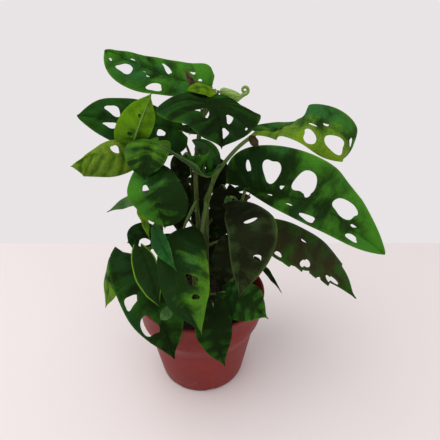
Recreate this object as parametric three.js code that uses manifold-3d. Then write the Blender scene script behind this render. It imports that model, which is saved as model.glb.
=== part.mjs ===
// A young monstera adansonii in its nursery pot.
// Millimetres, +Z up. The origin is the middle of the pot's underside, so the plant stands on z = 0.
// -Y is the side that the best leaves face.
import * as THREE from 'three';
import { mergeVertices } from 'three/addons/utils/BufferGeometryUtils.js';
import Module from 'manifold-3d';

const wasm = await Module();
wasm.setup();

// ---------------------------------------------------------------- driving dimensions

const GAP = 0.3; // clearance between pieces that rest on or stand in one another

const POT_RIM_RADIUS = 60;
const POT_HEIGHT = 92;
const POT_FOOT_RADIUS = 41.5;
const POT_FOOT_ROUNDING = 4;
const POT_COLLAR_HEIGHT = 27; // the straight band under the rim
const POT_COLLAR_RADIUS = 57.2; // at the collar's lower end
const POT_BODY_RADIUS = 51.5; // just under the collar's slope
const POT_SLOPE_HEIGHT = 10;
const POT_WALL = 1.4;
const POT_FLOOR = 2;
const POT_LIP = 2.2; // the rolled edge on the rim, measured inwards
const POT_SIDES = 32;
const DRAIN_HOLES = 8;
const DRAIN_WIDTH = 8;
const DRAIN_HEIGHT = 3;

const SOIL_LEVEL = 83;
const SOIL_CROWN = 2.5; // how far the soil rises in the middle
const STEM_DEPTH = 26; // how far a cutting goes down into the soil

const BLADE = 0.8; // thickness of a leaf blade
const RIB = 0.7; // how far the midrib stands out under the blade at its base
const STALK_RADIUS = 1.2; // of a petiole where it meets its blade
const STUB = 3.5; // the last bit of petiole, which is grown to the blade

// ---------------------------------------------------------------- colours and finishes

const finish = (color, roughness) => new THREE.MeshStandardMaterial({ color, roughness, metalness: 0 });
const PLASTIC = () => finish(0x8c3a33, 0.45);
const EARTH = () => finish(0x2a1a12, 0.95);
const STALK = () => finish(0x5f7a35, 0.5);
const LEAF = () => finish(0x1f5a24, 0.4);
const DARK = () => finish(0x163a17, 0.38);
const YOUNG = () => finish(0x6f9a25, 0.45);

const plant = new THREE.Group();

// ---------------------------------------------------------------- solids

const v = (x, y, z) => new THREE.Vector3(x, y, z);

/** A closed three.js geometry as a manifold solid. */
function solidOf(geometry) {
  const bare = geometry.clone();
  bare.deleteAttribute('normal');
  bare.deleteAttribute('uv');
  const merged = mergeVertices(bare, 1e-4);
  const vertProperties = new Float32Array(merged.attributes.position.array);
  const triVerts = new Uint32Array(merged.index.array);
  return new wasm.Manifold(new wasm.Mesh({ numProp: 3, vertProperties, triVerts }));
}

/** A manifold solid as a three.js geometry. */
function geometryOf(solid) {
  const mesh = solid.getMesh();
  const geometry = new THREE.BufferGeometry();
  geometry.setAttribute('position', new THREE.BufferAttribute(new Float32Array(mesh.vertProperties), 3));
  geometry.setIndex(new THREE.BufferAttribute(new Uint32Array(mesh.triVerts), 1));
  return geometry;
}

/** Solids grown together into one, without the slivers a join leaves. */
const join = (solids) => solids.reduce((sum, each) => sum.add(each)).simplify(0.02);

/** Adds one named piece to the plant. */
function piece(name, solid, material) {
  const mesh = new THREE.Mesh(geometryOf(solid), material);
  mesh.name = name;
  plant.add(mesh);
  return mesh;
}

/** A round bar along a curve. */
function bar(curve, radius, sides, steps) {
  const corners = [];
  for (let i = 0; i < sides; i += 1) {
    const turn = (2 * Math.PI * i) / sides;
    corners.push(new THREE.Vector2(radius * Math.cos(turn), radius * Math.sin(turn)));
  }
  const section = new THREE.Shape(corners);
  return solidOf(new THREE.ExtrudeGeometry(section, { steps, extrudePath: curve }));
}

/** A turned body from [radius, height] pairs, first and last on the axis. */
function turned(profile, sides) {
  const points = profile.map(([radius, height]) => new THREE.Vector2(radius, height));
  const lathe = new THREE.LatheGeometry(points, sides);
  lathe.rotateX(Math.PI / 2);
  return solidOf(lathe);
}

// ---------------------------------------------------------------- pot

function pot() {
  const slopeTop = POT_HEIGHT - POT_COLLAR_HEIGHT;
  const slopeFoot = slopeTop - POT_SLOPE_HEIGHT;
  const round = POT_FOOT_ROUNDING;
  const outside = [
    [0, 0],
    [POT_FOOT_RADIUS - round, 0],
    [POT_FOOT_RADIUS - 0.3 * round, 0.3 * round],
    [POT_FOOT_RADIUS + 0.2, round],
    [POT_BODY_RADIUS, slopeFoot],
    [POT_COLLAR_RADIUS - 1.5, slopeTop - 1.5],
    [POT_COLLAR_RADIUS, slopeTop + 1],
    [POT_RIM_RADIUS - 0.6, POT_HEIGHT - 3],
    [POT_RIM_RADIUS, POT_HEIGHT - 1.5],
    [POT_RIM_RADIUS - 0.6, POT_HEIGHT],
  ];
  const inside = [
    [POT_RIM_RADIUS - POT_LIP, POT_HEIGHT],
    [POT_RIM_RADIUS - POT_LIP, POT_HEIGHT - 3],
    [POT_COLLAR_RADIUS - POT_WALL, slopeTop + 1.5],
    [POT_BODY_RADIUS - POT_WALL, slopeFoot + 1],
    [POT_FOOT_RADIUS - POT_WALL, round + 1],
    [POT_FOOT_RADIUS - POT_WALL - round, POT_FLOOR],
    [0, POT_FLOOR],
  ];
  let body = turned([...outside, ...inside], POT_SIDES);
  for (let i = 0; i < DRAIN_HOLES; i += 1) {
    const around = ((i + 0.28) / DRAIN_HOLES) * 2 * Math.PI - Math.PI / 2;
    const slot = new THREE.BoxGeometry(9, DRAIN_WIDTH, 2 * DRAIN_HEIGHT);
    slot.translate(POT_FOOT_RADIUS - 1.5, 0, 0);
    slot.rotateZ(around);
    body = body.subtract(solidOf(slot));
  }
  piece('pot', body, PLASTIC());
}

// ---------------------------------------------------------------- stems

/** Every rooted cutting: where it leaves the soil, the way that it grows, and its thickness. */
const STEMS = {
  middle: { path: [v(-1, 2, 84), v(-1, 1, 150), v(-2, 5, 205), v(4, 14, 252)], radius: 2.2 },
  front: { path: [v(7, -8, 84), v(6, -7, 130), v(7, -6, 184)], radius: 2.4 },
  left: { path: [v(-24, -4, 84), v(-28, -8, 125), v(-34, -8, 168), v(-36, -6, 204)], radius: 2.2 },
  right: { path: [v(25, -4, 84), v(30, -4, 125), v(33, 0, 172)], radius: 2.2 },
  back: { path: [v(2, 24, 84), v(2, 22, 125), v(0, 14, 172)], radius: 2.2 },
  low: { path: [v(-2, -28, 84), v(-3, -28, 112), v(-6, -24, 138)], radius: 2 },
};

/** A cutting's curve, with a straight foot that stands in its hole in the soil. */
function stemCurve({ path }) {
  const foot = path[0].clone().setZ(SOIL_LEVEL - STEM_DEPTH);
  return new THREE.CatmullRomCurve3([foot, path[0], ...path.slice(1)]);
}

/** The point of a cutting's axis at a height. */
function stemAt(stem, height) {
  const curve = stemCurve(stem);
  let low = 0;
  let high = 1;
  for (let i = 0; i < 24; i += 1) {
    const middle = (low + high) / 2;
    if (curve.getPointAt(middle).z < height) low = middle;
    else high = middle;
  }
  return curve.getPointAt(low);
}

const stalks = Object.fromEntries(Object.keys(STEMS).map((name) => [name, []]));

// ---------------------------------------------------------------- leaves

/** How long a side vein is along the midrib, from base (0) to tip (1), as part of the half width. */
function veinLength(s, lobe, slender) {
  const swell = Math.sin(Math.PI * (lobe + (1 - lobe) * s) ** 0.865);
  return Math.max(swell, 0) ** (slender * (1 + 0.5 * s));
}

/** The angle between a side vein and the midrib: it leans back in the base lobes, forward at the tip. */
const veinAngle = (s, first) => THREE.MathUtils.degToRad(first - (first - 40) * Math.sqrt(s));

/**
 * The middle surface of a blade. s runs from base to tip along the midrib, t across from -1 (the left
 * edge, seen from above with the tip ahead) over 0 (the midrib) to 1 (the right edge).
 */
function surface(form) {
  const { rib, face, faceTip, width, fold, curl, wave, fullness, slender, lobe, firstVein } = form;
  const midrib = new THREE.CatmullRomCurve3(rib);
  const axes = (s) => {
    const ahead = midrib.getTangentAt(s);
    const up = face.clone().lerp(faceTip, s);
    up.addScaledVector(ahead, -up.dot(ahead)).normalize();
    return { ahead, up, across: ahead.clone().cross(up) };
  };
  const point = (s, t) => {
    const { ahead, up, across } = axes(s);
    const side = t < 0 ? 0 : 1;
    const along = s ** fullness[side];
    const angle = veinAngle(along, firstVein);
    const reach = Math.abs(t) * width[side] * veinLength(along, lobe, slender[side]);
    const out = reach * Math.sin(angle);
    const slope = THREE.MathUtils.degToRad(fold[side]);
    const bend = THREE.MathUtils.degToRad(curl[side] || 1) / width[side];
    const level = (Math.sin(slope + bend * out) - Math.sin(slope)) / bend;
    const rise = (Math.cos(slope) - Math.cos(slope + bend * out)) / bend;
    const ripple = wave * t * t * Math.sin(s * 17 + side * 2) * (1 - s);
    return midrib
      .getPointAt(s)
      .addScaledVector(ahead, reach * Math.cos(angle))
      .addScaledVector(across, Math.sign(t) * level)
      .addScaledVector(up, rise + ripple);
  };
  const normal = (s, t) => {
    if (t === 0) return axes(s).up;
    const step = 0.01;
    const near = Math.min(Math.max(s, step), 0.96);
    const alongS = point(near + step, t).sub(point(near - step, t));
    const acrossT = point(near, t + step * Math.sign(-t)).sub(point(near, t));
    return acrossT.multiplyScalar(Math.sign(-t)).cross(alongS).normalize();
  };
  return { midrib, point, normal };
}

/**
 * The outline of the window between two side veins: from t0 to t1 across the half, and as much of the
 * band between the veins as size says, moved along by a share of the band.
 */
function windowOutline(from, to, [t0, t1, size = 0.72, shift = 0]) {
  const corners = 8;
  const blunt = (x) => Math.sign(x) * Math.abs(x) ** 0.75;
  const outline = [];
  for (let i = 0; i < corners; i += 1) {
    const turn = (2 * Math.PI * (i + 0.25)) / corners;
    const s = (from + to) / 2 + (to - from) * (shift + (size * blunt(Math.cos(turn))) / 2);
    const t = (t0 + t1) / 2 + ((t1 - t0) * blunt(Math.sin(turn))) / 2;
    outline.push(new THREE.Vector2(s, t));
  }
  return outline;
}

/** A closed blade: the same triangles on both faces, and a wall along every free edge. */
function blade(leaf) {
  const { point, normal } = surface(leaf);
  const index = new Map();
  const top = [];
  const bottom = [];
  const vertex = (s, t) => {
    const place = s > 0.999 ? 0 : t;
    const key = `${s.toFixed(4)} ${place.toFixed(4)}`;
    if (!index.has(key)) {
      index.set(key, top.length);
      const at = point(s, place);
      const up = normal(s, place);
      const depth = BLADE / 2 + (place === 0 ? RIB * (1 - s) : 0);
      top.push(at.clone().addScaledVector(up, BLADE / 2));
      bottom.push(at.clone().addScaledVector(up, -depth));
    }
    return index.get(key);
  };
  const faces = [];
  for (const side of [-1, 1]) {
    const windows = side < 0 ? leaf.windows[0] : leaf.windows[1];
    for (let i = 0; i + 1 < leaf.veins.length; i += 1) {
      const from = leaf.veins[i];
      const to = leaf.veins[i + 1];
      const last = i + 2 === leaf.veins.length;
      const outline = [[from, 0], [to, 0]];
      if (last) outline.push([from + 0.68 * (to - from), 1], [from + 0.36 * (to - from), 1]);
      else outline.push([to, 0.5], [to, 1], [(from + to) / 2, 1]);
      outline.push([from, 1], [from, 0.5]);
      const contour = outline.map(([s, t]) => new THREE.Vector2(s, t));
      const holes = windows[i] ? [windowOutline(from, to, windows[i])] : [];
      const all = [...contour, ...holes.flat()];
      for (const face of THREE.ShapeUtils.triangulateShape(contour, holes)) {
        const [a, b, c] = face.map((n) => all[n]);
        const turn = (b.x - a.x) * (c.y - a.y) - (b.y - a.y) * (c.x - a.x);
        const corners = [a, b, c].map((p) => vertex(p.x, side * p.y));
        if (turn * side > 0) corners.reverse();
        faces.push(corners);
      }
    }
  }
  return thickened(faces, top, bottom);
}

/** A closed solid between two sheets that share their triangles. */
function thickened(faces, top, bottom) {
  const under = top.length;
  const edges = new Set(faces.flatMap(([a, b, c]) => [`${a} ${b}`, `${b} ${c}`, `${c} ${a}`]));
  const triangles = [];
  for (const [a, b, c] of faces) {
    triangles.push(a, b, c, c + under, b + under, a + under);
    for (const [from, to] of [[a, b], [b, c], [c, a]]) {
      if (edges.has(`${to} ${from}`)) continue;
      triangles.push(to, from, from + under, to, from + under, to + under);
    }
  }
  const geometry = new THREE.BufferGeometry();
  geometry.setFromPoints([...top, ...bottom]);
  geometry.setIndex(triangles);
  return solidOf(geometry);
}

const EVEN_VEINS = [0, 0.12, 0.27, 0.43, 0.6, 0.77, 1];
const BACK_VEINS = [0, 0.14, 0.34, 0.56, 0.77, 1];
const FEW_VEINS = [0, 0.22, 0.48, 0.74, 1];
const NO_WINDOWS = [[], []];
const FEW_WINDOWS = [[null, [0.25, 0.7]], [null, null, [0.2, 0.7]]];
const USUAL_WINDOWS = [
  [null, [0.25, 0.7], [0.2, 0.74], null, [0.22, 0.7]],
  [null, null, [0.2, 0.72], [0.22, 0.74], null],
];

/**
 * One leaf: its blade as a piece, and its petiole, which is grown to a cutting.
 * rib: points of the midrib from base to tip. face, faceTip: the way the upper side looks there.
 * width, fold, curl: left and right half width, its rise at the midrib, and its bend out to the edge.
 * windows: for each half, the window in each band between two side veins, from base to tip.
 * stalk: the cutting, the height where the petiole leaves it, and points that it passes.
 */
function leaf(name, shape) {
  const form = {
    faceTip: shape.face,
    fold: [6, 6],
    curl: [-35, -35],
    wave: 0.8,
    fullness: [1, 1],
    slender: [1, 1],
    lobe: 0.1,
    firstVein: 150,
    veins: EVEN_VEINS,
    windows: USUAL_WINDOWS,
    material: LEAF,
    ...shape,
  };
  const [stemName, height, ...passing] = form.stalk;
  const base = form.rib[0];
  const start = stemAt(STEMS[stemName], height);
  const path = new THREE.CatmullRomCurve3([start, ...passing, base]);
  const share = 1 - (STUB + GAP) / path.getLength();
  const before = path.getPointAt(share);
  const inwards = base.clone().sub(before).normalize();
  const stub = new THREE.LineCurve3(
    base.clone().addScaledVector(inwards, -STUB),
    base.clone().addScaledVector(inwards, 1.2),
  );
  const solid = blade(form).add(bar(stub, STALK_RADIUS, 6, 1));
  piece(name, solid, form.material());
  const whole = Array.from({ length: 9 }, (_, i) => path.getPointAt((share * i) / 8));
  stalks[stemName].push(bar(new THREE.CatmullRomCurve3(whole), form.stalkRadius ?? STALK_RADIUS, 5, 4));
}

leaf('leaf_top_left', {
  rib: [v(12, 11, 269), v(-16, 15, 274), v(-64, 1, 293)],
  face: v(-0.1, -0.5, 0.85),
  width: [24, 20],
  fold: [-7, 43],
  curl: [-55, -36],
  fullness: [1.8, 0.35],
  slender: [0.71, 0.43],
  lobe: 0.02,
  firstVein: 91,
  veins: [0, 0.14, 0.32, 0.53, 0.66, 0.83, 1],
  windows: [
    [null, null, [0.6, 0.86, 0.54, 0.12], null, [0.28, 0.68, 0.74, -0.06]],
    [null, null, [0.14, 0.7, 0.34, -0.14]],
  ],
  stalk: ['middle', 240, v(7, 14, 258)],
});

leaf('leaf_top_left_small', {
  rib: [v(14, 2, 266), v(3, -6, 269), v(-7, -10, 267)],
  face: v(0, -0.7, 0.7),
  width: [6, 6],
  windows: NO_WINDOWS,
  veins: [0, 0.3, 0.6, 1],
  material: YOUNG,
  stalk: ['middle', 244, v(11, 16, 256), v(14, 11, 266)],
});

leaf('leaf_top_centre', {
  rib: [v(10, 1, 262), v(9, -20, 260), v(17, -49, 255), v(19, -66, 239)],
  face: v(0, -0.2, 1),
  width: [33, 38],
  fold: [8, 16],
  curl: [-41, -43],
  fullness: [0.97, 0.79],
  slender: [0.77, 0.79],
  lobe: 0.03,
  firstVein: 131,
  veins: [0, 0.13, 0.28, 0.46, 0.66, 0.76, 1],
  windows: [
    [null, null, null, null, [0.22, 0.42, 0.8], [0.12, 0.5, 0.4, -0.12]],
    [null, null, null, [0.24, 0.44, 0.84]],
  ],
  material: DARK,
  stalk: ['middle', 222, v(5, 6, 246)],
});

leaf('leaf_upper_right', {
  rib: [v(47, -2, 237), v(67, 0, 239), v(80, -13, 247), v(113, -12, 234), v(118, -1, 220), v(117, 5, 212)],
  face: v(0, 0, 1),
  faceTip: v(0.5, -0.8, 0.3),
  width: [19, 23],
  fold: [25, -4],
  curl: [-21, -61],
  fullness: [1.41, 1.61],
  slender: [1.03, 1.2],
  lobe: 0.1,
  firstVein: 143,
  veins: [0, 0.12, 0.25, 0.36, 0.49, 0.73, 1],
  windows: [
    [null, null, null, null, null, [0.1, 0.34, 0.34, -0.28]],
    [null, null, null, [0.43, 0.86, 0.6, 0.1], [0.26, 0.74, 0.66]],
  ],
  stalkRadius: 1.8,
  stalk: ['front', 182, v(15, -3, 203), v(31, -2, 224)],
});

leaf('leaf_right_big', {
  rib: [v(39, -8, 194), v(78, -39, 194), v(103, -35, 182), v(142, -46, 154)],
  face: v(0.1, -0.95, 0.4),
  faceTip: v(0.1, -0.7, 0.65),
  width: [36, 16],
  fold: [25, 12],
  curl: [-15, -48],
  fullness: [0.54, 1.55],
  slender: [0.51, 0.58],
  lobe: 0.07,
  firstVein: 182,
  veins: [0, 0.03, 0.1, 0.25, 0.41, 0.52, 0.71, 1],
  windows: [
    [null, [0.42, 0.7, 0.3], [0.2, 0.7, 0.55], [0.14, 0.66, 0.58, 0.12], null, [0.12, 0.62, 0.8]],
    [null, null, null, null, [0.56, 0.84, 0.8], null, [0.4, 0.7, 0.26, -0.33]],
  ],
  stalkRadius: 1.5,
  stalk: ['right', 165],
});

leaf('leaf_right_hanging', {
  rib: [v(25, -29, 181), v(33, -57, 178), v(32, -66, 130)],
  face: v(0, -0.3, 0.9),
  faceTip: v(0, -1, 0),
  width: [27, 10],
  fold: [14, 1],
  curl: [-34, -32],
  fullness: [0.65, 1.08],
  slender: [0.69, 0.84],
  lobe: 0.11,
  firstVein: 185,
  veins: [0, 0.12, 0.25, 0.43, 0.6, 0.77, 1],
  windows: [[null, null, [0.14, 0.5, 0.26, -0.25], [0.4, 0.72, 0.24, 0.1]], []],
  material: DARK,
  stalk: ['right', 150],
});

leaf('leaf_right_torn', {
  rib: [v(60, -15, 163), v(90, -22, 147), v(135, -30, 101)],
  face: v(0.1, -0.7, 0.7),
  width: [18, 22],
  fold: [3, 6],
  curl: [-44, -35],
  wave: 2,
  fullness: [1.22, 0.54],
  slender: [0.91, 0.75],
  lobe: 0.1,
  firstVein: 149,
  veins: [0, 0.13, 0.28, 0.43, 0.57, 0.77, 1],
  windows: [[], [null, null, [0.54, 0.86, 0.58, -0.03], null, [0.43, 0.83, 0.78]]],
  material: DARK,
  stalk: ['right', 130],
});

leaf('leaf_right_narrow', {
  rib: [v(51, 10, 118), v(64, 6, 104), v(78, 4, 82)],
  face: v(0.6, -0.4, 0.6),
  width: [4, 4],
  windows: NO_WINDOWS,
  veins: [0, 0.3, 0.6, 1],
  material: DARK,
  stalk: ['right', 100],
});

leaf('leaf_left_dark', {
  rib: [v(-13, 4, 237), v(-48, -7, 245), v(-85, -14, 251)],
  face: v(0, -0.75, 0.65),
  width: [24, 23],
  fold: [1, 9],
  curl: [-37, -32],
  fullness: [0.59, 1.1],
  slender: [0.5, 0.76],
  lobe: 0.02,
  firstVein: 138,
  veins: [0, 0.12, 0.3, 0.5, 0.76, 1],
  windows: [
    [null, [0.1, 0.34, 0.4, -0.1], null, [0.18, 0.55, 0.5, 0.06]],
    [null, null, null, [0.14, 0.66, 0.44]],
  ],
  material: DARK,
  stalk: ['middle', 205],
});

leaf('leaf_left_upright', {
  rib: [v(-45, -22, 231), v(-39, -31, 243), v(-29, -22, 266)],
  face: v(-0.3, 0.85, 0.2),
  width: [11, 15],
  fold: [17, 15],
  curl: [-30, -27],
  fullness: [1.09, 0.68],
  slender: [0.9, 0.67],
  lobe: 0.04,
  firstVein: 125,
  veins: [0, 0.17, 0.33, 0.5, 0.66, 0.82, 1],
  windows: [[], [null, [0.12, 0.38, 0.55], null, [0.1, 0.28, 0.4]]],
  material: YOUNG,
  stalk: ['left', 200, v(-37, -12, 214), v(-44, -18, 224)],
});

leaf('leaf_left_olive', {
  rib: [v(-45, -27, 222), v(-69, -39, 228), v(-82, -46, 222)],
  face: v(0, -0.8, 0.6),
  width: [19, 15],
  fold: [-3, -1],
  curl: [-73, -12],
  fullness: [1.05, 0.42],
  slender: [0.76, 1.32],
  lobe: 0.06,
  firstVein: 108,
  veins: [0, 0.14, 0.3, 0.46, 0.63, 0.8, 1],
  windows: [[], [null, [0.23, 0.7, 0.74, -0.03]]],
  material: YOUNG,
  stalk: ['left', 190, v(-44, -18, 210)],
});

leaf('leaf_left_green', {
  rib: [v(-25, -27, 235), v(-29, -40, 234), v(-33, -50, 214)],
  face: v(0, -0.3, 0.95),
  faceTip: v(0, -0.95, 0.3),
  width: [14, 18],
  windows: NO_WINDOWS,
  stalk: ['left', 198, v(-34, -20, 213)],
});

leaf('leaf_centre_cupped', {
  rib: [v(14, -20, 212), v(6, -26, 210), v(-4, -36, 221), v(-22, -50, 238)],
  face: v(-0.3, -0.6, 0.7),
  width: [11, 28],
  fold: [62, 62],
  curl: [-10, -40],
  fullness: [1, 0.42],
  slender: [0.6, 2],
  lobe: 0.1,
  firstVein: 180,
  windows: [[], [null, [0.55, 0.75, 0.7]]],
  stalk: ['front', 178],
});

leaf('leaf_left_round', {
  rib: [v(-30, -36, 217), v(-28, -49, 209), v(-22, -45, 176)],
  face: v(-0.2, -0.5, 0.85),
  faceTip: v(0, -0.95, -0.2),
  width: [22, 19],
  fold: [10, 12],
  curl: [-35, -33],
  fullness: [1.49, 0.8],
  slender: [0.94, 0.73],
  lobe: 0.09,
  firstVein: 153,
  windows: [[], [null, null, [0.14, 0.38, 0.7, -0.08]]],
  stalk: ['left', 180],
});

leaf('leaf_left_thin', {
  rib: [v(-40, 8, 184), v(-57, 4, 180), v(-79, 0, 169)],
  face: v(0, -0.6, 0.8),
  width: [7, 6],
  windows: NO_WINDOWS,
  veins: [0, 0.3, 0.6, 1],
  stalk: ['left', 160],
});

leaf('leaf_left_strip', {
  rib: [v(-47, -20, 190), v(-42, -28, 176), v(-37, -32, 159)],
  face: v(-0.6, -0.8, 0.1),
  width: [6, 5],
  windows: NO_WINDOWS,
  veins: [0, 0.3, 0.6, 1],
  material: YOUNG,
  stalk: ['left', 170],
});

leaf('leaf_left_gloss', {
  rib: [v(-28, -53, 181), v(-23, -66, 178), v(-16, -80, 174), v(-9, -89, 167)],
  face: v(-0.5, -0.2, 0.85),
  width: [5, 6.5],
  fold: [20, 20],
  fullness: [1.2, 1.2],
  veins: FEW_VEINS,
  windows: NO_WINDOWS,
  stalk: ['left', 158, v(-33, -22, 168), v(-31, -42, 176)],
});

leaf('leaf_small_oval', {
  rib: [v(25, -3, 184), v(25, -5, 179), v(25, -6, 174)],
  face: v(0, -0.9, 0.4),
  width: [3.5, 3.5],
  veins: FEW_VEINS,
  windows: NO_WINDOWS,
  material: YOUNG,
  stalk: ['right', 167, v(31, -1, 182)],
});

leaf('leaf_low_left_back', {
  rib: [v(-41, 3, 142), v(-45, -2, 147), v(-62, -9, 144)],
  face: v(-0.1, -0.7, 0.7),
  width: [14, 16],
  fold: [5, 7],
  curl: [-35, -34],
  fullness: [1.16, 1.14],
  slender: [1.03, 1.02],
  lobe: 0.09,
  firstVein: 148,
  veins: [0, 0.12, 0.26, 0.66, 0.82, 1],
  windows: [[null, null, [0.12, 0.62, 0.84]], []],
  material: DARK,
  stalk: ['left', 120, v(-33, 6, 134)],
});

leaf('leaf_low_left_arched', {
  rib: [v(-43, -15, 129), v(-65, -30, 137), v(-81, -32, 93)],
  face: v(-0.3, -0.3, 0.9),
  faceTip: v(-0.7, -0.7, 0.1),
  width: [15, 15],
  fold: [7, 8],
  curl: [-33, -35],
  fullness: [1.13, 1.05],
  slender: [0.81, 0.88],
  lobe: 0.1,
  firstVein: 149,
  windows: NO_WINDOWS,
  stalk: ['left', 110],
});

leaf('leaf_low_left_big', {
  rib: [v(-48, -42, 147), v(-26, -66, 110), v(-18, -68, 72)],
  face: v(-0.2, -0.6, 0.8),
  faceTip: v(0, -1, 0.2),
  width: [19, 31],
  fold: [6, 1],
  curl: [-35, -43],
  fullness: [0.99, 0.75],
  slender: [0.89, 0.68],
  lobe: 0.12,
  firstVein: 149,
  veins: [0, 0.1, 0.22, 0.38, 0.66, 0.83, 1],
  windows: [[], [null, null, [0.36, 0.84, 0.51, -0.14], [0.19, 0.86, 0.69, 0.05]]],
  material: DARK,
  stalk: ['left', 115, v(-40, -30, 138)],
});

leaf('leaf_left_crescent', {
  rib: [v(-40, -50, 161), v(-29, -69, 146), v(-22, -84, 134)],
  face: v(-0.4, -0.6, 0.7),
  width: [9, 12],
  fold: [26, 25],
  curl: [-34, -36],
  fullness: [1, 0.96],
  slender: [1.01, 0.77],
  lobe: 0.11,
  firstVein: 147,
  windows: NO_WINDOWS,
  stalk: ['left', 140],
});

leaf('leaf_front_main', {
  rib: [v(-11, -29, 167), v(-15, -58, 168), v(-9, -84, 148), v(5, -82, 109)],
  face: v(0, -0.1, 1),
  faceTip: v(0, -1, 0.2),
  width: [28, 12],
  fold: [-3, 13],
  curl: [-49, -33],
  fullness: [0.81, 1.32],
  slender: [0.78, 1.13],
  lobe: 0.07,
  firstVein: 145,
  veins: [0, 0.12, 0.27, 0.42, 0.56, 0.72, 1],
  windows: [[null, null, null, [0.29, 0.64, 0.49, 0.09], [0.41, 0.68, 0.27, -0.15]], []],
  stalk: ['low', 130, v(-4, -24, 150)],
});

leaf('leaf_front_pale', {
  rib: [v(-16, -80, 131), v(-19, -82, 128), v(-23, -84, 124)],
  face: v(0, -0.9, 0.4),
  width: [4, 4],
  veins: [0, 0.4, 1],
  windows: NO_WINDOWS,
  material: YOUNG,
  stalk: ['low', 112, v(-6, -48, 122), v(-13, -68, 129)],
});

leaf('leaf_low_centre', {
  rib: [v(13, -54, 113), v(13, -69, 104), v(22, -72, 68)],
  face: v(0, -0.7, 0.7),
  faceTip: v(0, -1, 0.1),
  width: [15, 15],
  fold: [5, 3],
  curl: [-35, -37],
  fullness: [0.71, 0.93],
  slender: [0.93, 0.84],
  lobe: 0.11,
  firstVein: 153,
  windows: NO_WINDOWS,
  material: DARK,
  stalk: ['low', 115],
});

leaf('leaf_low_right', {
  rib: [v(22, -37, 113), v(39, -52, 115), v(57, -51, 97)],
  face: v(0.1, -0.7, 0.7),
  width: [17, 18],
  fold: [2, 5],
  curl: [-37, -36],
  fullness: [0.92, 0.74],
  slender: [1.08, 1],
  lobe: 0.1,
  firstVein: 150,
  windows: NO_WINDOWS,
  stalk: ['low', 105, v(14, -33, 108)],
});

leaf('leaf_inner_high', {
  rib: [v(23, 8, 186), v(24, 10, 170), v(25, 9, 142)],
  face: v(0, -0.9, 0.4),
  width: [16, 16],
  windows: NO_WINDOWS,
  material: DARK,
  stalk: ['back', 160, v(12, 17, 175), v(20, 16, 188)],
});

leaf('leaf_inner_left', {
  rib: [v(-16, 12, 193), v(-18, 14, 172), v(-20, 12, 140)],
  face: v(0, -0.9, 0.4),
  width: [13, 13],
  veins: FEW_VEINS,
  windows: NO_WINDOWS,
  material: DARK,
  stalk: ['back', 155, v(-11, 18, 186)],
});

leaf('leaf_inner_centre', {
  rib: [v(1, 10, 205), v(1, 9, 188), v(1, 8, 160)],
  face: v(0, -0.9, 0.4),
  width: [9, 9],
  veins: FEW_VEINS,
  windows: NO_WINDOWS,
  material: DARK,
  stalk: ['back', 165, v(-4, 20, 190), v(-2, 18, 203)],
});

leaf('leaf_inner_low', {
  rib: [v(16, 12, 138), v(18, 16, 125), v(20, 14, 97)],
  face: v(0, -0.9, 0.4),
  width: [16, 16],
  windows: NO_WINDOWS,
  material: DARK,
  stalk: ['back', 120, v(9, 20, 134)],
});

leaf('leaf_inner_front', {
  rib: [v(24, -16, 152), v(22, -24, 138), v(18, -27, 106)],
  face: v(0, -0.9, 0.4),
  width: [12, 11],
  windows: NO_WINDOWS,
  material: DARK,
  stalk: ['front', 140],
});

leaf('leaf_inner_up_left', {
  rib: [v(-15, 29, 210), v(-17, 32, 198), v(-16, 30, 186)],
  face: v(0, -0.9, 0.4),
  width: [11, 11],
  veins: FEW_VEINS,
  windows: NO_WINDOWS,
  material: DARK,
  stalk: ['back', 164, v(-6, 18, 194), v(-10, 22, 215)],
});

leaf('leaf_inner_up_right', {
  rib: [v(14, 26, 207), v(16, 29, 192), v(15, 26, 177)],
  face: v(0, -0.9, 0.4),
  width: [11, 11],
  veins: FEW_VEINS,
  windows: NO_WINDOWS,
  material: DARK,
  stalk: ['back', 168, v(9, 19, 204)],
});

leaf('leaf_inner_mid', {
  rib: [v(2, 31, 156), v(3, 34, 144), v(3, 31, 130)],
  face: v(0, -0.9, 0.4),
  width: [14, 14],
  veins: FEW_VEINS,
  windows: NO_WINDOWS,
  material: DARK,
  stalk: ['back', 128, v(1, 26, 146)],
});

leaf('leaf_inner_low_left', {
  rib: [v(-16, 8, 130), v(-17, 11, 116), v(-17, 9, 93)],
  face: v(0, -0.9, 0.4),
  width: [13, 13],
  windows: NO_WINDOWS,
  veins: FEW_VEINS,
  material: DARK,
  stalk: ['middle', 112, v(-9, 4, 122)],
});

leaf('leaf_back_top', {
  rib: [v(2, 20, 233), v(-3, 42, 236), v(-12, 72, 222)],
  face: v(0, 0.1, 1),
  width: [18, 18],
  windows: FEW_WINDOWS,
  veins: BACK_VEINS,
  material: DARK,
  stalk: ['middle', 215],
});

leaf('leaf_back_left_high', {
  rib: [v(-37, 8, 192), v(-46, 28, 192), v(-60, 54, 174)],
  face: v(0, 0.1, 1),
  width: [17, 17],
  windows: FEW_WINDOWS,
  veins: BACK_VEINS,
  material: DARK,
  stalk: ['left', 172],
});

leaf('leaf_back_right_high', {
  rib: [v(40, 14, 184), v(53, 32, 184), v(72, 56, 166)],
  face: v(0, 0.1, 1),
  width: [18, 17],
  windows: FEW_WINDOWS,
  veins: BACK_VEINS,
  material: DARK,
  stalk: ['right', 158],
});

leaf('leaf_back_high', {
  rib: [v(2, 27, 179), v(-2, 48, 184), v(-8, 76, 168)],
  face: v(0, 0.2, 1),
  width: [20, 20],
  windows: FEW_WINDOWS,
  veins: BACK_VEINS,
  material: DARK,
  stalk: ['back', 150],
});

leaf('leaf_back_right', {
  rib: [v(20, 20, 168), v(30, 42, 172), v(40, 68, 150)],
  face: v(0, 0.2, 1),
  width: [18, 18],
  windows: FEW_WINDOWS,
  veins: BACK_VEINS,
  material: DARK,
  stalk: ['back', 140],
});

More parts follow.
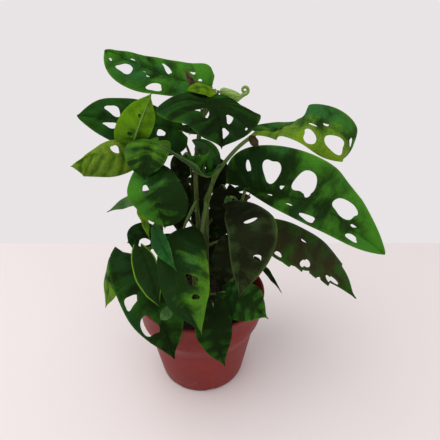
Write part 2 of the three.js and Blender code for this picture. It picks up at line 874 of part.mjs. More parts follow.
leaf('leaf_back_left', {
  rib: [v(-16, 22, 160), v(-26, 44, 164), v(-38, 66, 140)],
  face: v(0, 0.2, 1),
  width: [19, 19],
  windows: FEW_WINDOWS,
  veins: BACK_VEINS,
  material: DARK,
  stalk: ['back', 132],
});

leaf('leaf_back_low', {
  rib: [v(8, 36, 128), v(12, 60, 134), v(14, 86, 106)],
  face: v(0, 0.2, 1),
  width: [20, 20],
  windows: FEW_WINDOWS,
  veins: BACK_VEINS,
  material: DARK,
  stalk: ['back', 110],
});

leaf('leaf_back_low_left', {
  rib: [v(-18, 32, 118), v(-34, 52, 122), v(-46, 72, 92)],
  face: v(0, 0.2, 1),
  width: [18, 18],
  windows: FEW_WINDOWS,
  veins: BACK_VEINS,
  material: DARK,
  stalk: ['back', 104],
});

leaf('leaf_back_low_right', {
  rib: [v(26, 28, 115), v(42, 48, 120), v(56, 66, 92)],
  face: v(0, 0.2, 1),
  width: [18, 17],
  windows: FEW_WINDOWS,
  veins: BACK_VEINS,
  material: DARK,
  stalk: ['back', 98],
});

// ---------------------------------------------------------------- rolled new leaf

function rolledLeaf() {
  const base = v(18, 6, 266.5);
  const roll = new THREE.CatmullRomCurve3([base, v(25, 5, 264), v(33, 3, 261)]);
  const curl = [];
  for (let i = 0; i <= 8; i += 1) {
    const turn = -Math.PI / 2 + (i * Math.PI) / 4;
    const reach = 2.9 - 0.17 * i;
    curl.push(v(36.5 + reach * Math.cos(turn), 3, 267 + reach * Math.sin(turn)));
  }
  const tip = new THREE.CatmullRomCurve3([v(31, 3, 261), ...curl]);
  piece('leaf_rolled', join([bar(roll, 3.6, 7, 3), bar(tip, 1.3, 5, 11)]), YOUNG());
  const start = stemAt(STEMS.middle, 246);
  const stalk = [start, v(12, 16, 257), v(16, 12, 264), base.clone().add(v(-1.2, GAP, 0))];
  stalks.middle.push(bar(new THREE.CatmullRomCurve3(stalk), STALK_RADIUS, 5, 4));
}

rolledLeaf();

// ---------------------------------------------------------------- stems with their petioles, soil, pot

for (const [name, stem] of Object.entries(STEMS)) {
  const trunk = bar(stemCurve(stem), stem.radius, 7, 8);
  piece(`stem_${name}`, join([trunk, ...stalks[name]]), STALK());
}

function soil() {
  const slopeTop = POT_HEIGHT - POT_COLLAR_HEIGHT;
  const slopeFoot = slopeTop - POT_SLOPE_HEIGHT;
  const clear = POT_WALL + GAP + 0.2;
  const round = POT_FOOT_ROUNDING;
  const profile = [
    [0, POT_FLOOR + GAP],
    [POT_FOOT_RADIUS - clear - round, POT_FLOOR + GAP],
    [POT_FOOT_RADIUS - clear, round + 1.5],
    [POT_BODY_RADIUS - clear, slopeFoot + 0.5],
    [POT_COLLAR_RADIUS - clear, slopeTop + 1.5],
    [POT_COLLAR_RADIUS - clear + 1, SOIL_LEVEL - 1],
    [POT_COLLAR_RADIUS - clear - 6, SOIL_LEVEL],
    [26, SOIL_LEVEL + 0.7 * SOIL_CROWN],
    [0, SOIL_LEVEL + SOIL_CROWN],
  ];
  let earth = turned(profile, 32);
  for (const { path, radius } of Object.values(STEMS)) {
    const foot = path[0].clone().setZ(SOIL_LEVEL - STEM_DEPTH - GAP);
    const mouth = path[0].clone().setZ(SOIL_LEVEL + SOIL_CROWN + 5);
    earth = earth.subtract(bar(new THREE.LineCurve3(foot, mouth), radius + 0.6, 10, 1));
  }
  piece('soil', earth, EARTH());
}

soil();
pot();

export default plant;
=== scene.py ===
# %% [markdown]
# # A young monstera adansonii in its nursery pot
#
# The plant is six rooted cuttings in one thin plastic pot. Each cutting carries leaf stalks, and each
# stalk carries one blade with windows between its side veins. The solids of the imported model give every
# place and size. Here each of them is made again, finer, with veins, a waxy skin and living colours.

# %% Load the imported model
import math
import random

import bpy
import numpy as np
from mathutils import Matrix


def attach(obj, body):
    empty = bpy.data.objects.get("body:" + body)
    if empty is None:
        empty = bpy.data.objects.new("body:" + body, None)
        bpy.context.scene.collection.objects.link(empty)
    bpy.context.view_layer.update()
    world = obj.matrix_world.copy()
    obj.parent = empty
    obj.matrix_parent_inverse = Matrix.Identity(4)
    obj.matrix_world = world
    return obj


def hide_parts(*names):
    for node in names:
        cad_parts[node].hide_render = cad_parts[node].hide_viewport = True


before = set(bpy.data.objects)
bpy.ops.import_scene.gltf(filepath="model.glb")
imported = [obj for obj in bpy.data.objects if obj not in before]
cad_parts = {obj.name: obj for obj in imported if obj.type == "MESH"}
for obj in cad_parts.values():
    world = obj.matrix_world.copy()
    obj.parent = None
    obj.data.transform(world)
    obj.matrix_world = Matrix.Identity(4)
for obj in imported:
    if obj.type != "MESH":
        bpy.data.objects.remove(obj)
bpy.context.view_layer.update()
bpy.ops.object.select_all(action="DESELECT")
MM = 0.001
print("nodes to dress:", len(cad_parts))

# %% [markdown]
# ## The camera
#
# The plant is seen from a little above, as someone who stands at the table sees it. The lens is the wide
# one of a phone, so the near leaves look large beside the pot.

# %% Camera
CAMERA_PLACE = (0.018, -0.2687, 0.2835)
LOOKS_DOWN = 24.4  # degrees
bpy.ops.object.camera_add(location=CAMERA_PLACE, rotation=(math.radians(90 - LOOKS_DOWN), 0, 0))
camera = bpy.context.object
camera.data.sensor_width = 36
camera.data.lens = 27.82
bpy.context.scene.camera = camera
print("camera lens:", camera.data.lens)

# %% [markdown]
# ## Helpers for node materials
#
# Every finish here is worked out by the computer from a few rules, without any picture. A finish is a
# chain of small nodes, so a few helpers keep the chains short. The first ones add a node, do a sum, fade
# between two values and lay one colour over another. The next ones make patterns and relief.


# %% Node helpers
def add(tree, kind, inputs=None, **settings):
    """Adds one node, with its settings, and sets or joins its inputs."""
    made = tree.nodes.new(kind)
    for key, value in settings.items():
        setattr(made, key, value)
    for key, value in (inputs or {}).items():
        if isinstance(value, bpy.types.NodeSocket):
            tree.links.new(value, made.inputs[key])
        else:
            made.inputs[key].default_value = value
    return made


def calc(tree, operation, first, second=0.0):
    """One sum on two numbers."""
    return add(tree, "ShaderNodeMath", {0: first, 1: second}, operation=operation).outputs[0]


def fade(tree, value, low, high, start=0.0, end=1.0):
    """Goes softly from start to end while value goes from low to high."""
    steps = {"Value": value, "From Min": low, "From Max": high, "To Min": start, "To Max": end}
    return add(tree, "ShaderNodeMapRange", steps, interpolation_type="SMOOTHSTEP").outputs[0]


def paint(tree, share, under, over):
    """Lays one colour over another, by a share from 0 to 1."""
    mixed = add(tree, "ShaderNodeMix", {0: share, 6: under, 7: over}, data_type="RGBA")
    return mixed.outputs[2]


def fresh_tree(name):
    """An empty node material, its chain, and the place on the object that the chain starts from."""
    material = bpy.data.materials.new(name)
    material.use_nodes = True
    tree = material.node_tree
    tree.nodes.clear()
    return material, tree, add(tree, "ShaderNodeTexCoord").outputs["Object"]


print("node helpers: add, calc, fade, paint, fresh_tree")


# %% Patterns and relief
def growth_shares(tree):
    """The three shares that a piece carries at each of its points."""
    share = add(tree, "ShaderNodeAttribute", attribute_name="growth").outputs["Color"]
    return add(tree, "ShaderNodeSeparateColor", {"Color": share}).outputs


def clouds(tree, vector, scale, detail=3.0):
    """A soft random pattern from 0 to 1."""
    noise = add(tree, "ShaderNodeTexNoise", {"Vector": vector, "Scale": scale, "Detail": detail})
    return noise.outputs["Fac"]


def plus(tree, total, *parts):
    """A total with more parts added, each a value and its weight."""
    for value, weight in parts:
        total = calc(tree, "ADD", total, calc(tree, "MULTIPLY", value, weight))
    return total


def raised(tree, height, strength, distance):
    """A normal that makes small relief of a height pattern."""
    steps = {"Height": height, "Strength": strength, "Distance": distance}
    return add(tree, "ShaderNodeBump", steps).outputs[0]


def drawn_out(tree, vector, scale):
    """The same places, closer or wider apart along each way."""
    return add(tree, "ShaderNodeMapping", {"Vector": vector, "Scale": scale}).outputs[0]


def plated(tree, material, inputs):
    """Ends a plain finish: a surface with these inputs."""
    skin = add(tree, "ShaderNodeBsdfPrincipled", inputs)
    add(tree, "ShaderNodeOutputMaterial", {"Surface": skin.outputs[0]})
    return material


print("pattern helpers: growth_shares, clouds, plus, raised, drawn_out, plated")

# %% [markdown]
# ## Table, room light and lamps
#
# Leaves look right only under soft light: a small hard lamp makes black shadows between them. So the room
# itself glows a little, a wide panel stands high at the left in front, and a weaker one fills from the
# right. The table is a pale board that ends behind the pot, and the bright room shows above its edge.

# %% Table and lamps
scene = bpy.context.scene
scene.view_settings.view_transform = "Standard"
world = bpy.data.worlds.new("bright_room")
world.use_nodes = True
room = world.node_tree.nodes["Background"]
room.inputs["Color"].default_value = (0.81, 0.775, 0.785, 1)
seen = add(world.node_tree, "ShaderNodeLightPath").outputs["Is Camera Ray"]
ROOM_LIGHT, ROOM_SEEN = 0.85, 1.0  # how brightly the room lights things, and how bright it looks
glow = fade(world.node_tree, seen, 0, 1, ROOM_LIGHT, ROOM_SEEN)
world.node_tree.links.new(glow, room.inputs["Strength"])
scene.world = world

bpy.ops.mesh.primitive_plane_add(size=1, location=(0, -1.0, 0))
table = bpy.context.object
table.name = "table_top"
bpy.ops.transform.resize(value=(4, 2.516, 1))
bpy.ops.object.transform_apply(location=True, rotation=True, scale=True)


def panel(name, place, target, size, power):
    """A soft square lamp at a place, turned to a target."""
    bpy.ops.object.light_add(type="AREA", location=place)
    lamp = bpy.context.object
    lamp.name = name
    lamp.data.size = size
    lamp.data.energy = power
    ahead = np.array(target, float) - np.array(place, float)
    lamp.rotation_euler = (
        math.atan2(math.hypot(ahead[0], ahead[1]), -ahead[2]),
        0,
        math.atan2(ahead[1], ahead[0]) - math.pi / 2,
    )
    return lamp


PLANT_MIDDLE = (0, 0, 0.15)
panel("key_panel", (-0.6, -0.35, 1.3), PLANT_MIDDLE, size=1.6, power=12.5)
panel("fill_panel", (0.9, -0.9, 0.6), PLANT_MIDDLE, size=0.8, power=2.3)

# %% [markdown]
# ## The skin of a leaf
#
# A leaf isn't one green. It is deep green where it is old, yellow-green where it is young, lighter along
# the veins, and finely quilted between them. Every blade carries a map whose first number counts the side
# veins from the base, so a whole number lies on a vein, and whose second goes from the midrib, 0, to the
# edge, 1. It also carries three shares at every point: how fresh the green is, which on some blades also
# holds painted light and shade, how much yellow is in it, and how much painted light its edge gets.
#
# The tone, from 0 for the deep green to 1 for the fresh one, is a sum: the blade's own share, soft
# patches, fine grain, streaks along the side veins, painted shade in the hollows at the veins and along
# the midrib, and a painted light edge. Soft bluish patches are painted sheen, and a thin yellow edge is
# painted light too. Light shines through a blade, so part of the skin is a translucent shader. The
# underside is paler and duller, and there the veins stand out.

# %% Where the veins run
PATCHES, GRAIN, SHEEN_SPOTS, WOBBLES, WAX = 34, 130, 26, 90, 900  # about how many lie on a metre


def vein_marks(tree, place, count, out):
    """Shares that are 1 on a side vein and on the midrib, and how far off the next side vein is."""
    wobble = calc(tree, "MULTIPLY", calc(tree, "SUBTRACT", clouds(tree, place, WOBBLES), 0.5), 0.16)
    near = calc(tree, "ADD", calc(tree, "ADD", count, wobble), 0.5)
    near = calc(tree, "ABSOLUTE", calc(tree, "SUBTRACT", calc(tree, "FRACT", near), 0.5))
    side = calc(tree, "MULTIPLY", fade(tree, near, 0.01, 0.045, 1, 0), fade(tree, out, 0.4, 0.9, 1, 0))
    return side, fade(tree, out, 0.008, 0.035, 1, 0), near


def vein_net(tree, chart):
    """The fine net between the side veins."""
    chart = drawn_out(tree, chart, (3.2, 6.5, 1))
    cells = add(tree, "ShaderNodeTexVoronoi", {"Vector": chart, "Scale": 1.6}, feature="DISTANCE_TO_EDGE")
    return fade(tree, cells.outputs["Distance"], 0.02, 0.12, 1, 0)


def vein_streaks(tree, place, chart):
    """Soft streaks along the side veins, other ones on every blade, from -0.5 to 0.5."""
    moved = add(tree, "ShaderNodeVectorMath", {0: place, 1: (14, 14, 14)}, operation="MULTIPLY")
    steps = {0: chart, 1: (2.6, 0.9, 1), 2: moved.outputs[0]}
    drawn = add(tree, "ShaderNodeVectorMath", steps, operation="MULTIPLY_ADD")
    return calc(tree, "SUBTRACT", clouds(tree, drawn.outputs[0], 2.4, 4), 0.5)


print("patches and specks of grain on a metre:", PATCHES, GRAIN)


# %% One side of a blade
def leaf_skin(name, colours, shine, through, under):
    """The upper skin or the underside, from its deep, fresh and yellow colour and its cool one for painted
    sheen.
    """
    material, tree, place = fresh_tree(name)
    deep, fresh, yellow, sheen = ((*colour, 1) for colour in colours)
    chart = add(tree, "ShaderNodeUVMap", uv_map="veins").outputs["UV"]
    count, across, _ = add(tree, "ShaderNodeSeparateXYZ", {"Vector": chart}).outputs
    out = calc(tree, "ABSOLUTE", across)
    green, gold, rim = growth_shares(tree)
    side, middle, near = vein_marks(tree, place, count, out)
    net = vein_net(tree, chart)

    patches = calc(tree, "SUBTRACT", clouds(tree, place, PATCHES, 4), 0.5)
    fine = calc(tree, "SUBTRACT", clouds(tree, place, GRAIN, 4), 0.5)
    # Painted shade: darker in the hollows at the side veins, lighter between them, and darker along the
    # midrib. The rim share adds painted light at the edge.
    vein_shade, bone = fade(tree, near, 0.02, 0.4, -0.16, 0.18), fade(tree, out, 0.0, 0.5, -0.28, 0.0)
    tone = plus(tree, green, (patches, 1.5), (fine, 0.9), (vein_streaks(tree, place, chart), 0.7),
                (vein_shade, 1.0), (bone, 1.0), (fade(tree, out, 0.8, 1.0), rim))
    tone = fade(tree, tone, 0.0, 1.0)
    colour = paint(tree, tone, deep, fresh)
    # Painted sheen: soft bluish-green patches, stronger where the tone is light.
    spots = fade(tree, clouds(tree, place, SHEEN_SPOTS, 2), 0.48, 0.66)
    colour = paint(tree, calc(tree, "MULTIPLY", spots, fade(tree, tone, 0, 0.6, 0.15, 0.7)), colour, sheen)
    # Painted light: a thin yellow edge, as light shining through the margin.
    edge = calc(tree, "MULTIPLY", fade(tree, out, 0.94, 1.0), 0.35)
    lit_net = calc(tree, "MULTIPLY", net, fade(tree, gold, 0, 0.14, 0, 0.6))
    yellow_and_lit_edge = calc(tree, "MAXIMUM", calc(tree, "MAXIMUM", gold, edge), lit_net)
    colour = paint(tree, calc(tree, "MULTIPLY", yellow_and_lit_edge, tone), colour, yellow)
    veined = calc(tree, "MAXIMUM", calc(tree, "MULTIPLY", side, 0.45), middle)
    seen = fade(tree, tone, 0.1, 1, 0.03, 0.4 if under else 0.16)
    colour = paint(tree, calc(tree, "MULTIPLY", veined, seen), colour, yellow)

    relief = calc(tree, "MAXIMUM", calc(tree, "MAXIMUM", side, middle), calc(tree, "MULTIPLY", net, 0.4))
    relief = calc(tree, "MULTIPLY", relief, 1.0 if under else -1.0)
    relief = plus(tree, relief, (clouds(tree, place, WAX, 2), 0.25), (fine, 2.6))
    normal = raised(tree, relief, 0.6, 0.0008)
    rough = 0.6 if under else 0.45
    skin = add(tree, "ShaderNodeBsdfPrincipled", {
        "Base Color": colour, "Roughness": fade(tree, patches, -0.2, 0.2, rough - 0.05, rough + 0.12),
        "Normal": normal, "IOR": 1.3, "Specular IOR Level": shine})
    glow = add(tree, "ShaderNodeBsdfTranslucent", {
        "Color": paint(tree, 0.5, colour, yellow), "Normal": normal})
    lit = calc(tree, "MULTIPLY", fade(tree, tone, 0, 1, 0.4, 1), through)
    both = add(tree, "ShaderNodeMixShader", {0: lit, 1: skin.outputs[0], 2: glow.outputs[0]})
    add(tree, "ShaderNodeOutputMaterial", {"Surface": both.outputs[0]})
    return material


print("skin helper: leaf_skin")

# %% [markdown]
# ## All leaf skins
#
# Most leaves are plain green, the shaded ones painted dark as shade, the young ones yellow-green. A few
# have a look of their own: dusky ones are a brownish near-black, painted shade for leaves deep inside,
# aged ones are brownish, one is glossy, and some small ones are pale. Each row holds the finish's name,
# its deep, fresh, yellow and cool colour, the cool one being painted sheen, how much it shines and how
# much light it lets through.

# %% Leaf skins
UPPER_LOOKS = {
    "leaf": ("green_leaf", ((0.011, 0.032, 0.006), (0.060, 0.235, 0.018), (0.22, 0.36, 0.018),
                            (0.026, 0.125, 0.036)), 0.04, 0.22),
    # The dark skin is painted shade, for leaves in shade.
    "leaf_dark": ("dark_leaf", ((0.009, 0.020, 0.005), (0.022, 0.092, 0.010), (0.09, 0.21, 0.012),
                                (0.011, 0.036, 0.014)), 0.0, 0.10),
    "leaf_young": ("young_leaf", ((0.045, 0.105, 0.008), (0.18, 0.36, 0.010), (0.38, 0.46, 0.06),
                                  (0.10, 0.24, 0.030)), 0.04, 0.28),
    # The dusky skin is a near-black painted shade, for leaves deep inside.
    "dusky": ("dusky_leaf", ((0.012, 0.015, 0.006), (0.045, 0.075, 0.022), (0.13, 0.20, 0.05),
                             (0.026, 0.045, 0.018)), 0.02, 0.10),
    "aged": ("aged_leaf", ((0.034, 0.031, 0.013), (0.030, 0.105, 0.014), (0.10, 0.15, 0.02),
                           (0.032, 0.040, 0.018)), 0.02, 0.10),
    "glossy": ("glossy_leaf", ((0.012, 0.06, 0.012), (0.026, 0.19, 0.022), (0.10, 0.34, 0.05),
                               (0.016, 0.11, 0.022)), 0.08, 0.12),
    "pale": ("pale_leaf", ((0.045, 0.11, 0.030), (0.12, 0.25, 0.07), (0.26, 0.40, 0.14),
                           (0.10, 0.22, 0.09)), 0.05, 0.2),
}
UNDER_LOOKS = {
    "leaf": ("green_leaf_under", ((0.030, 0.060, 0.010), (0.13, 0.25, 0.020), (0.28, 0.38, 0.03),
                                  (0.06, 0.13, 0.04)), 0.04, 0.24),
    "leaf_dark": ("dark_leaf_under", ((0.018, 0.032, 0.010), (0.045, 0.11, 0.014), (0.12, 0.20, 0.02),
                                      (0.03, 0.06, 0.02)), 0.02, 0.12),
    "leaf_young": ("young_leaf_under", ((0.05, 0.14, 0.007), (0.16, 0.40, 0.010), (0.28, 0.48, 0.02),
                                        (0.10, 0.27, 0.02)), 0.04, 0.3),
    "aged": ("aged_leaf_under", ((0.040, 0.032, 0.015), (0.045, 0.11, 0.02), (0.12, 0.18, 0.03),
                                 (0.04, 0.05, 0.02)), 0.02, 0.12),
    "pale": ("pale_leaf_under", ((0.036, 0.085, 0.026), (0.085, 0.19, 0.055), (0.16, 0.22, 0.08),
                                 (0.06, 0.095, 0.045)), 0.02, 0.12),
}
UPPER = {kind: leaf_skin(*look, under=False) for kind, look in UPPER_LOOKS.items()}
UNDER = {kind: leaf_skin(*look, under=True) for kind, look in UNDER_LOOKS.items()}
print("leaf skins:", [skin.name for skin in (*UPPER.values(), *UNDER.values())])

# %% [markdown]
# ## Stalk, dry sheath, soil and pot finishes
#
# A stalk is smooth and grey-green with fine lengthwise streaks, and browner and corky at its joints. The
# dry sheaths are papery. The soil is nearly black, dull and crumbly. The pot is thin moulded plastic:
# satin, with faint cloudy marks and a little dust towards the foot.


# %% Other finishes
def stalk_skin():
    """Living stem: green, with brown and pale where the shares say so."""
    material, tree, place = fresh_tree("living_stem")
    brown, pale, _ = growth_shares(tree)
    streaks = clouds(tree, drawn_out(tree, place, (1, 1, 0.12)), 700, 3)
    light = fade(tree, streaks, 0.35, 0.7)
    colour = paint(tree, light, (0.028, 0.046, 0.008, 1), (0.088, 0.125, 0.024, 1))
    colour = paint(tree, pale, colour, (0.15, 0.27, 0.055, 1))
    patchy = calc(tree, "ADD", brown, calc(tree, "SUBTRACT", clouds(tree, place, 160, 4), 0.5))
    colour = paint(tree, fade(tree, patchy, 0.3, 0.75), colour, (0.06, 0.035, 0.015, 1))
    return plated(tree, material, {"Base Color": colour, "Roughness": 0.5, "Specular IOR Level": 0.15,
                                   "Normal": raised(tree, streaks, 0.35, 0.0004)})


def papery_skin():
    """Dried sheath: thin brown paper with fibres."""
    material, tree, place = fresh_tree("dry_sheath")
    fibres = clouds(tree, drawn_out(tree, place, (1, 1, 0.15)), 900, 4)
    colour = paint(tree, fade(tree, fibres, 0.3, 0.7), (0.030, 0.014, 0.006, 1), (0.13, 0.075, 0.030, 1))
    return plated(tree, material, {"Base Color": colour, "Roughness": 0.8,
                                   "Normal": raised(tree, fibres, 0.6, 0.0005)})


def soil_skin():
    """Dark potting soil with paler fibres."""
    material, tree, place = fresh_tree("potting_soil")
    lumps = clouds(tree, place, 420, 6)
    bits = add(tree, "ShaderNodeTexVoronoi", {"Vector": place, "Scale": 330}).outputs["Distance"]
    colour = paint(tree, fade(tree, lumps, 0.35, 0.7), (0.010, 0.006, 0.004, 1), (0.05, 0.03, 0.018, 1))
    colour = paint(tree, fade(tree, bits, 0.0, 0.25, 0.35, 0), colour, (0.13, 0.08, 0.045, 1))
    return plated(tree, material, {"Base Color": colour, "Roughness": 0.95, "Specular IOR Level": 0.2,
                                   "Normal": raised(tree, lumps, 1.0, 0.002)})


def pot_plastic():
    """Red-brown moulded plastic, satin, with cloudy marks and dust at the foot."""
    material, tree, place = fresh_tree("pot_plastic")
    _, _, height = add(tree, "ShaderNodeSeparateXYZ", {"Vector": place}).outputs
    marks = clouds(tree, place, 38, 5)
    colour = paint(tree, fade(tree, marks, 0.3, 0.75), (0.165, 0.015, 0.013, 1), (0.20, 0.022, 0.018, 1))
    specks = fade(tree, clouds(tree, place, 240, 5), 0.5, 0.75)
    dust = calc(tree, "MULTIPLY", specks, fade(tree, height, 0, 0.03, 0.5, 0.12))
    colour = paint(tree, dust, colour, (0.30, 0.10, 0.08, 1))
    return plated(tree, material, {
        "Base Color": colour, "Roughness": fade(tree, marks, 0.3, 0.7, 0.38, 0.5),
        "Specular IOR Level": 0.12, "Normal": raised(tree, clouds(tree, place, 2600, 2), 0.12, 0.0003)})


def table_skin():
    """Matt white table."""
    material, tree, _ = fresh_tree("white_table")
    return plated(tree, material, {"Base Color": (0.82, 0.765, 0.755, 1), "Roughness": 0.7})


STEM, PAPER, EARTH, PLASTIC = stalk_skin(), papery_skin(), soil_skin(), pot_plastic()
table.data.materials.append(table_skin())
print("other finishes:", [m.name for m in (STEM, PAPER, EARTH, PLASTIC)])

# %% [markdown]
# ## Picking, smoothing, thickening
#
# Blender's tools work on the pieces that are selected, and first of all on the active one. So these three
# steps come back for nearly every piece. A blade is first a sheet without thickness, because a sheet is
# easy to bend and to cut. It gets its thickness last.


# %% Picking pieces and making them solid
def pick(*things):
    """Selects only these pieces. The first is the active one."""
    bpy.ops.object.select_all(action="DESELECT")
    for thing in things:
        thing.select_set(True)
    bpy.context.view_layer.objects.active = things[0]


def smooth(piece, degrees):
    """Shades a piece softly, but keeps the edges that are sharper than this."""
    pick(piece)
    bpy.ops.object.shade_smooth_by_angle(angle=math.radians(degrees))


def thickened(sheet, thickness, other_side=0):
    """Gives a sheet its thickness (mm), to both sides, and a finish of its own on its other side."""
    thick = sheet.modifiers.new("thickness", "SOLIDIFY")
    thick.thickness = thickness * MM
    thick.offset = 0
    thick.material_offset = other_side
    thick.material_offset_rim = other_side
    bpy.ops.object.modifier_apply(modifier=thick.name)
    smooth(sheet, 50)


print("piece helpers: pick, smooth, thickened")

# %% [markdown]
# ## Curves and round bars
#
# Stems, stalks and midribs are all round bars on a smooth line. The line goes through a few given points,
# and the bar's thickness changes along it. Blender's curve does that: every point of it has its own
# radius. It is then made a mesh.


# %% Smooth lines and bars
def along(points, shares):
    """Places on the smooth line through the points, at shares of its length, its ways and its length."""
    knots = np.array(points, float)
    knots = np.vstack([2 * knots[0] - knots[1], knots, 2 * knots[-1] - knots[-2]])
    path = [knots[1][None]]
    step = np.linspace(0, 1, 121)[1:, None]
    for a, b, c, d in zip(knots, knots[1:], knots[2:], knots[3:]):
        before, here, after = (math.sqrt(np.linalg.norm(q - p)) for p, q in ((a, b), (b, c), (c, d)))
        leave = here * ((b - a) / before - (c - a) / (before + here) + (c - b) / here)
        arrive = here * ((c - b) / here - (d - b) / (here + after) + (d - c) / after)
        path.append(b + leave * step + (3 * (c - b) - 2 * leave - arrive) * step**2
                    + (2 * (b - c) + leave + arrive) * step**3)
    path = np.vstack(path)
    gone = np.append(0, np.cumsum(np.linalg.norm(np.diff(path, axis=0), axis=1)))
    way = np.gradient(path, axis=0)
    spots = np.asarray(shares, float) * gone[-1]
    place = np.stack([np.interp(spots, gone, path[:, k]) for k in range(3)], -1)
    ahead = np.stack([np.interp(spots, gone, way[:, k]) for k in range(3)], -1)
    return place, ahead / np.linalg.norm(ahead, axis=-1, keepdims=True), gone[-1]


def bar(name, points, radii, finish, brown=0.0, pale=0.0):
    """A round bar through the points (mm), as thick at each as radii says."""
    line = bpy.data.curves.new(name, "CURVE")
    line.dimensions = "3D"
    line.bevel_depth = MM
    line.bevel_resolution = 3
    line.use_fill_caps = True
    spline = line.splines.new("POLY")
    spline.points.add(len(points) - 1)
    for knot, place, radius in zip(spline.points, points, radii):
        knot.co = (*(np.array(place) * MM), 1)
        knot.radius = radius
    rod = bpy.data.objects.new(name, line)
    scene.collection.objects.link(rod)
    pick(rod)
    bpy.ops.object.convert(target="MESH")
    rod = bpy.context.object
    rod.data.materials.clear()
    rod.data.materials.append(finish)
    bpy.ops.object.shade_smooth()
    spots = np.array([v.co for v in rod.data.vertices]) / MM
    nearest = np.argmin(((spots[:, None] - np.array(points)[None]) ** 2).sum(-1), axis=1)
    shares = np.zeros((len(spots), 4))
    shares[:, 0] = np.broadcast_to(brown, len(points))[nearest]
    shares[:, 1] = np.broadcast_to(pale, len(points))[nearest]
    growth = rod.data.attributes.new("growth", "FLOAT_COLOR", "POINT")
    growth.data.foreach_set("color", shares.ravel())
    return rod


def smooth_bar(name, points, count, stops, thickness, finish, **shares):
    """A round bar on the smooth line through the points. Its thickness is given at a few shares of it."""
    spots = np.linspace(0, 1, count)
    line, _, _ = along(points, spots)
    return bar(name, line, np.interp(spots, stops, thickness), finish, **shares)


def joined(name, parts):
    """Makes several meshes one."""
    pick(*parts)
    if len(parts) > 1:
        bpy.ops.object.join()
    whole = parts[0]
    whole.name = whole.data.name = name
    return whole


def stands_for(piece, slot, *nodes):
    """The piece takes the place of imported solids, and belongs to the one body."""
    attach(piece, "root")
    if nodes:
        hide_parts(*nodes)
    return piece


print("bar helpers: along, bar, smooth_bar, joined, stands_for")

# %% [markdown]
# ## The cuttings
#
# Each cutting stands in the soil and leans a little its own way. They are given first, because every leaf
# stalk starts on one of them.

# %% Cuttings
SOIL_LEVEL, FOOT_LEVEL = 83, 57  # mm above the table
CUTTINGS = {  # points on the axis, and the radius
    "middle": ([(-1, 2, 84), (-1, 1, 150), (-2, 5, 205), (4, 14, 252)], 2.2),
    "front": ([(7, -8, 84), (6, -7, 130), (7, -6, 184)], 2.4),
    "left": ([(-24, -4, 84), (-28, -8, 125), (-34, -8, 168), (-36, -6, 204)], 2.2),
    "right": ([(25, -4, 84), (30, -4, 125), (33, 0, 172)], 2.2),
    "back": ([(2, 24, 84), (2, 22, 125), (0, 14, 172)], 2.2),
    "low": ([(-2, -28, 84), (-3, -28, 112), (-6, -24, 138)], 2.0),
}


def cutting_line(name, shares):
    """Places on a cutting's axis, its foot in the soil included."""
    path, _ = CUTTINGS[name]
    return along([(*path[0][:2], FOOT_LEVEL), *path], shares)


def cutting_at(name, height):
    """The point of a cutting's axis at a height."""
    line, _, _ = cutting_line(name, np.linspace(0, 1, 400))
    return tuple(np.interp(height, line[:, 2], line[:, k]) for k in range(3))


stalks = {name: [] for name in CUTTINGS}
print("cuttings:", list(CUTTINGS))

# %% [markdown]
# ## One leaf
#
# A blade is a sheet that hangs on its midrib. Side veins leave the midrib at an angle that changes from
# base to tip, each has its own length, and the sheet rises and bends over on its way out. So a flat grid
# is added, and each of its points is laid where those rules put it. The edge flutters a little, the sheet
# is quilted between its veins, and an old leaf's edge can be torn into teeth.

# %% Numbers that all blades share
BLUNT = 2.67  # how square a window is: 2 is an oval
EVEN_VEINS = (0, 0.12, 0.27, 0.43, 0.6, 0.77, 1)
BACK_VEINS = (0, 0.14, 0.34, 0.56, 0.77, 1)
FEW_VEINS = (0, 0.22, 0.48, 0.74, 1)
THREE_PARTS = (0, 0.3, 0.6, 1)
FEW_WINDOWS = ({1: (0.25, 0.7)}, {2: (0.2, 0.7)})
BLADE = 0.55  # how thick a blade is, mm
STUB, STALK_END = 3.5, 3.2  # how far before the blade its midrib's bar starts and its stalk's bar ends, mm
TIP_VEIN = 40  # degrees between the midrib and the last side vein
FLUTTER, QUILT, UNEVEN = 0.6, 0.045, 0.05  # the edge's waves in mm, and two shares of the half width


print("side veins of a usual leaf:", len(EVEN_VEINS))


# %% The rules of a blade
def pair(values, side):
    """The left or the right value at every point."""
    return np.where(side > 0, values[1], values[0])


def vein_length(s, side, form):
    """How far around the outline the vein that starts at s is, and its length, 1 for the longest."""
    run = s ** pair(form["fullness"], side)
    swell = np.sin(np.pi * (form["lobe"] + (1 - form["lobe"]) * run) ** 0.865).clip(0)
    length = swell ** (pair(form["slender"], side) * (1 + 0.5 * run))
    for edge, start, end, share in form["teeth"]:
        ramp = np.where((s - end) * (end - start) < 0, (s - start) / (end - start), 0).clip(0, 1)
        length = length * (1 + share * (side == edge) * ramp)
    return run, length


def waves(s, t, side, half, form, phase):
    """How far the sheet lies off its smooth form: the edge flutters, the middle is quilted."""
    out = np.abs(t)
    edge = form["wave"] * t * t * np.sin(s * 17 + (side > 0) * 2) * (1 - s)
    edge += FLUTTER * out ** 1.5 * np.sin(s * 23 + phase + side * 2) * (1 - s)
    band = np.interp(s, form["veins"], range(len(form["veins"]))) % 1
    arch = np.sin(np.pi * out ** 0.8)
    quilt = QUILT * half * np.sin(np.pi * band) ** 2 * arch
    swing = np.sin(7 * s + phase) * np.sin(6 * out + 2 * phase + side) * np.minimum(1, 4 * s)
    return edge + quilt + UNEVEN * half * arch * swing


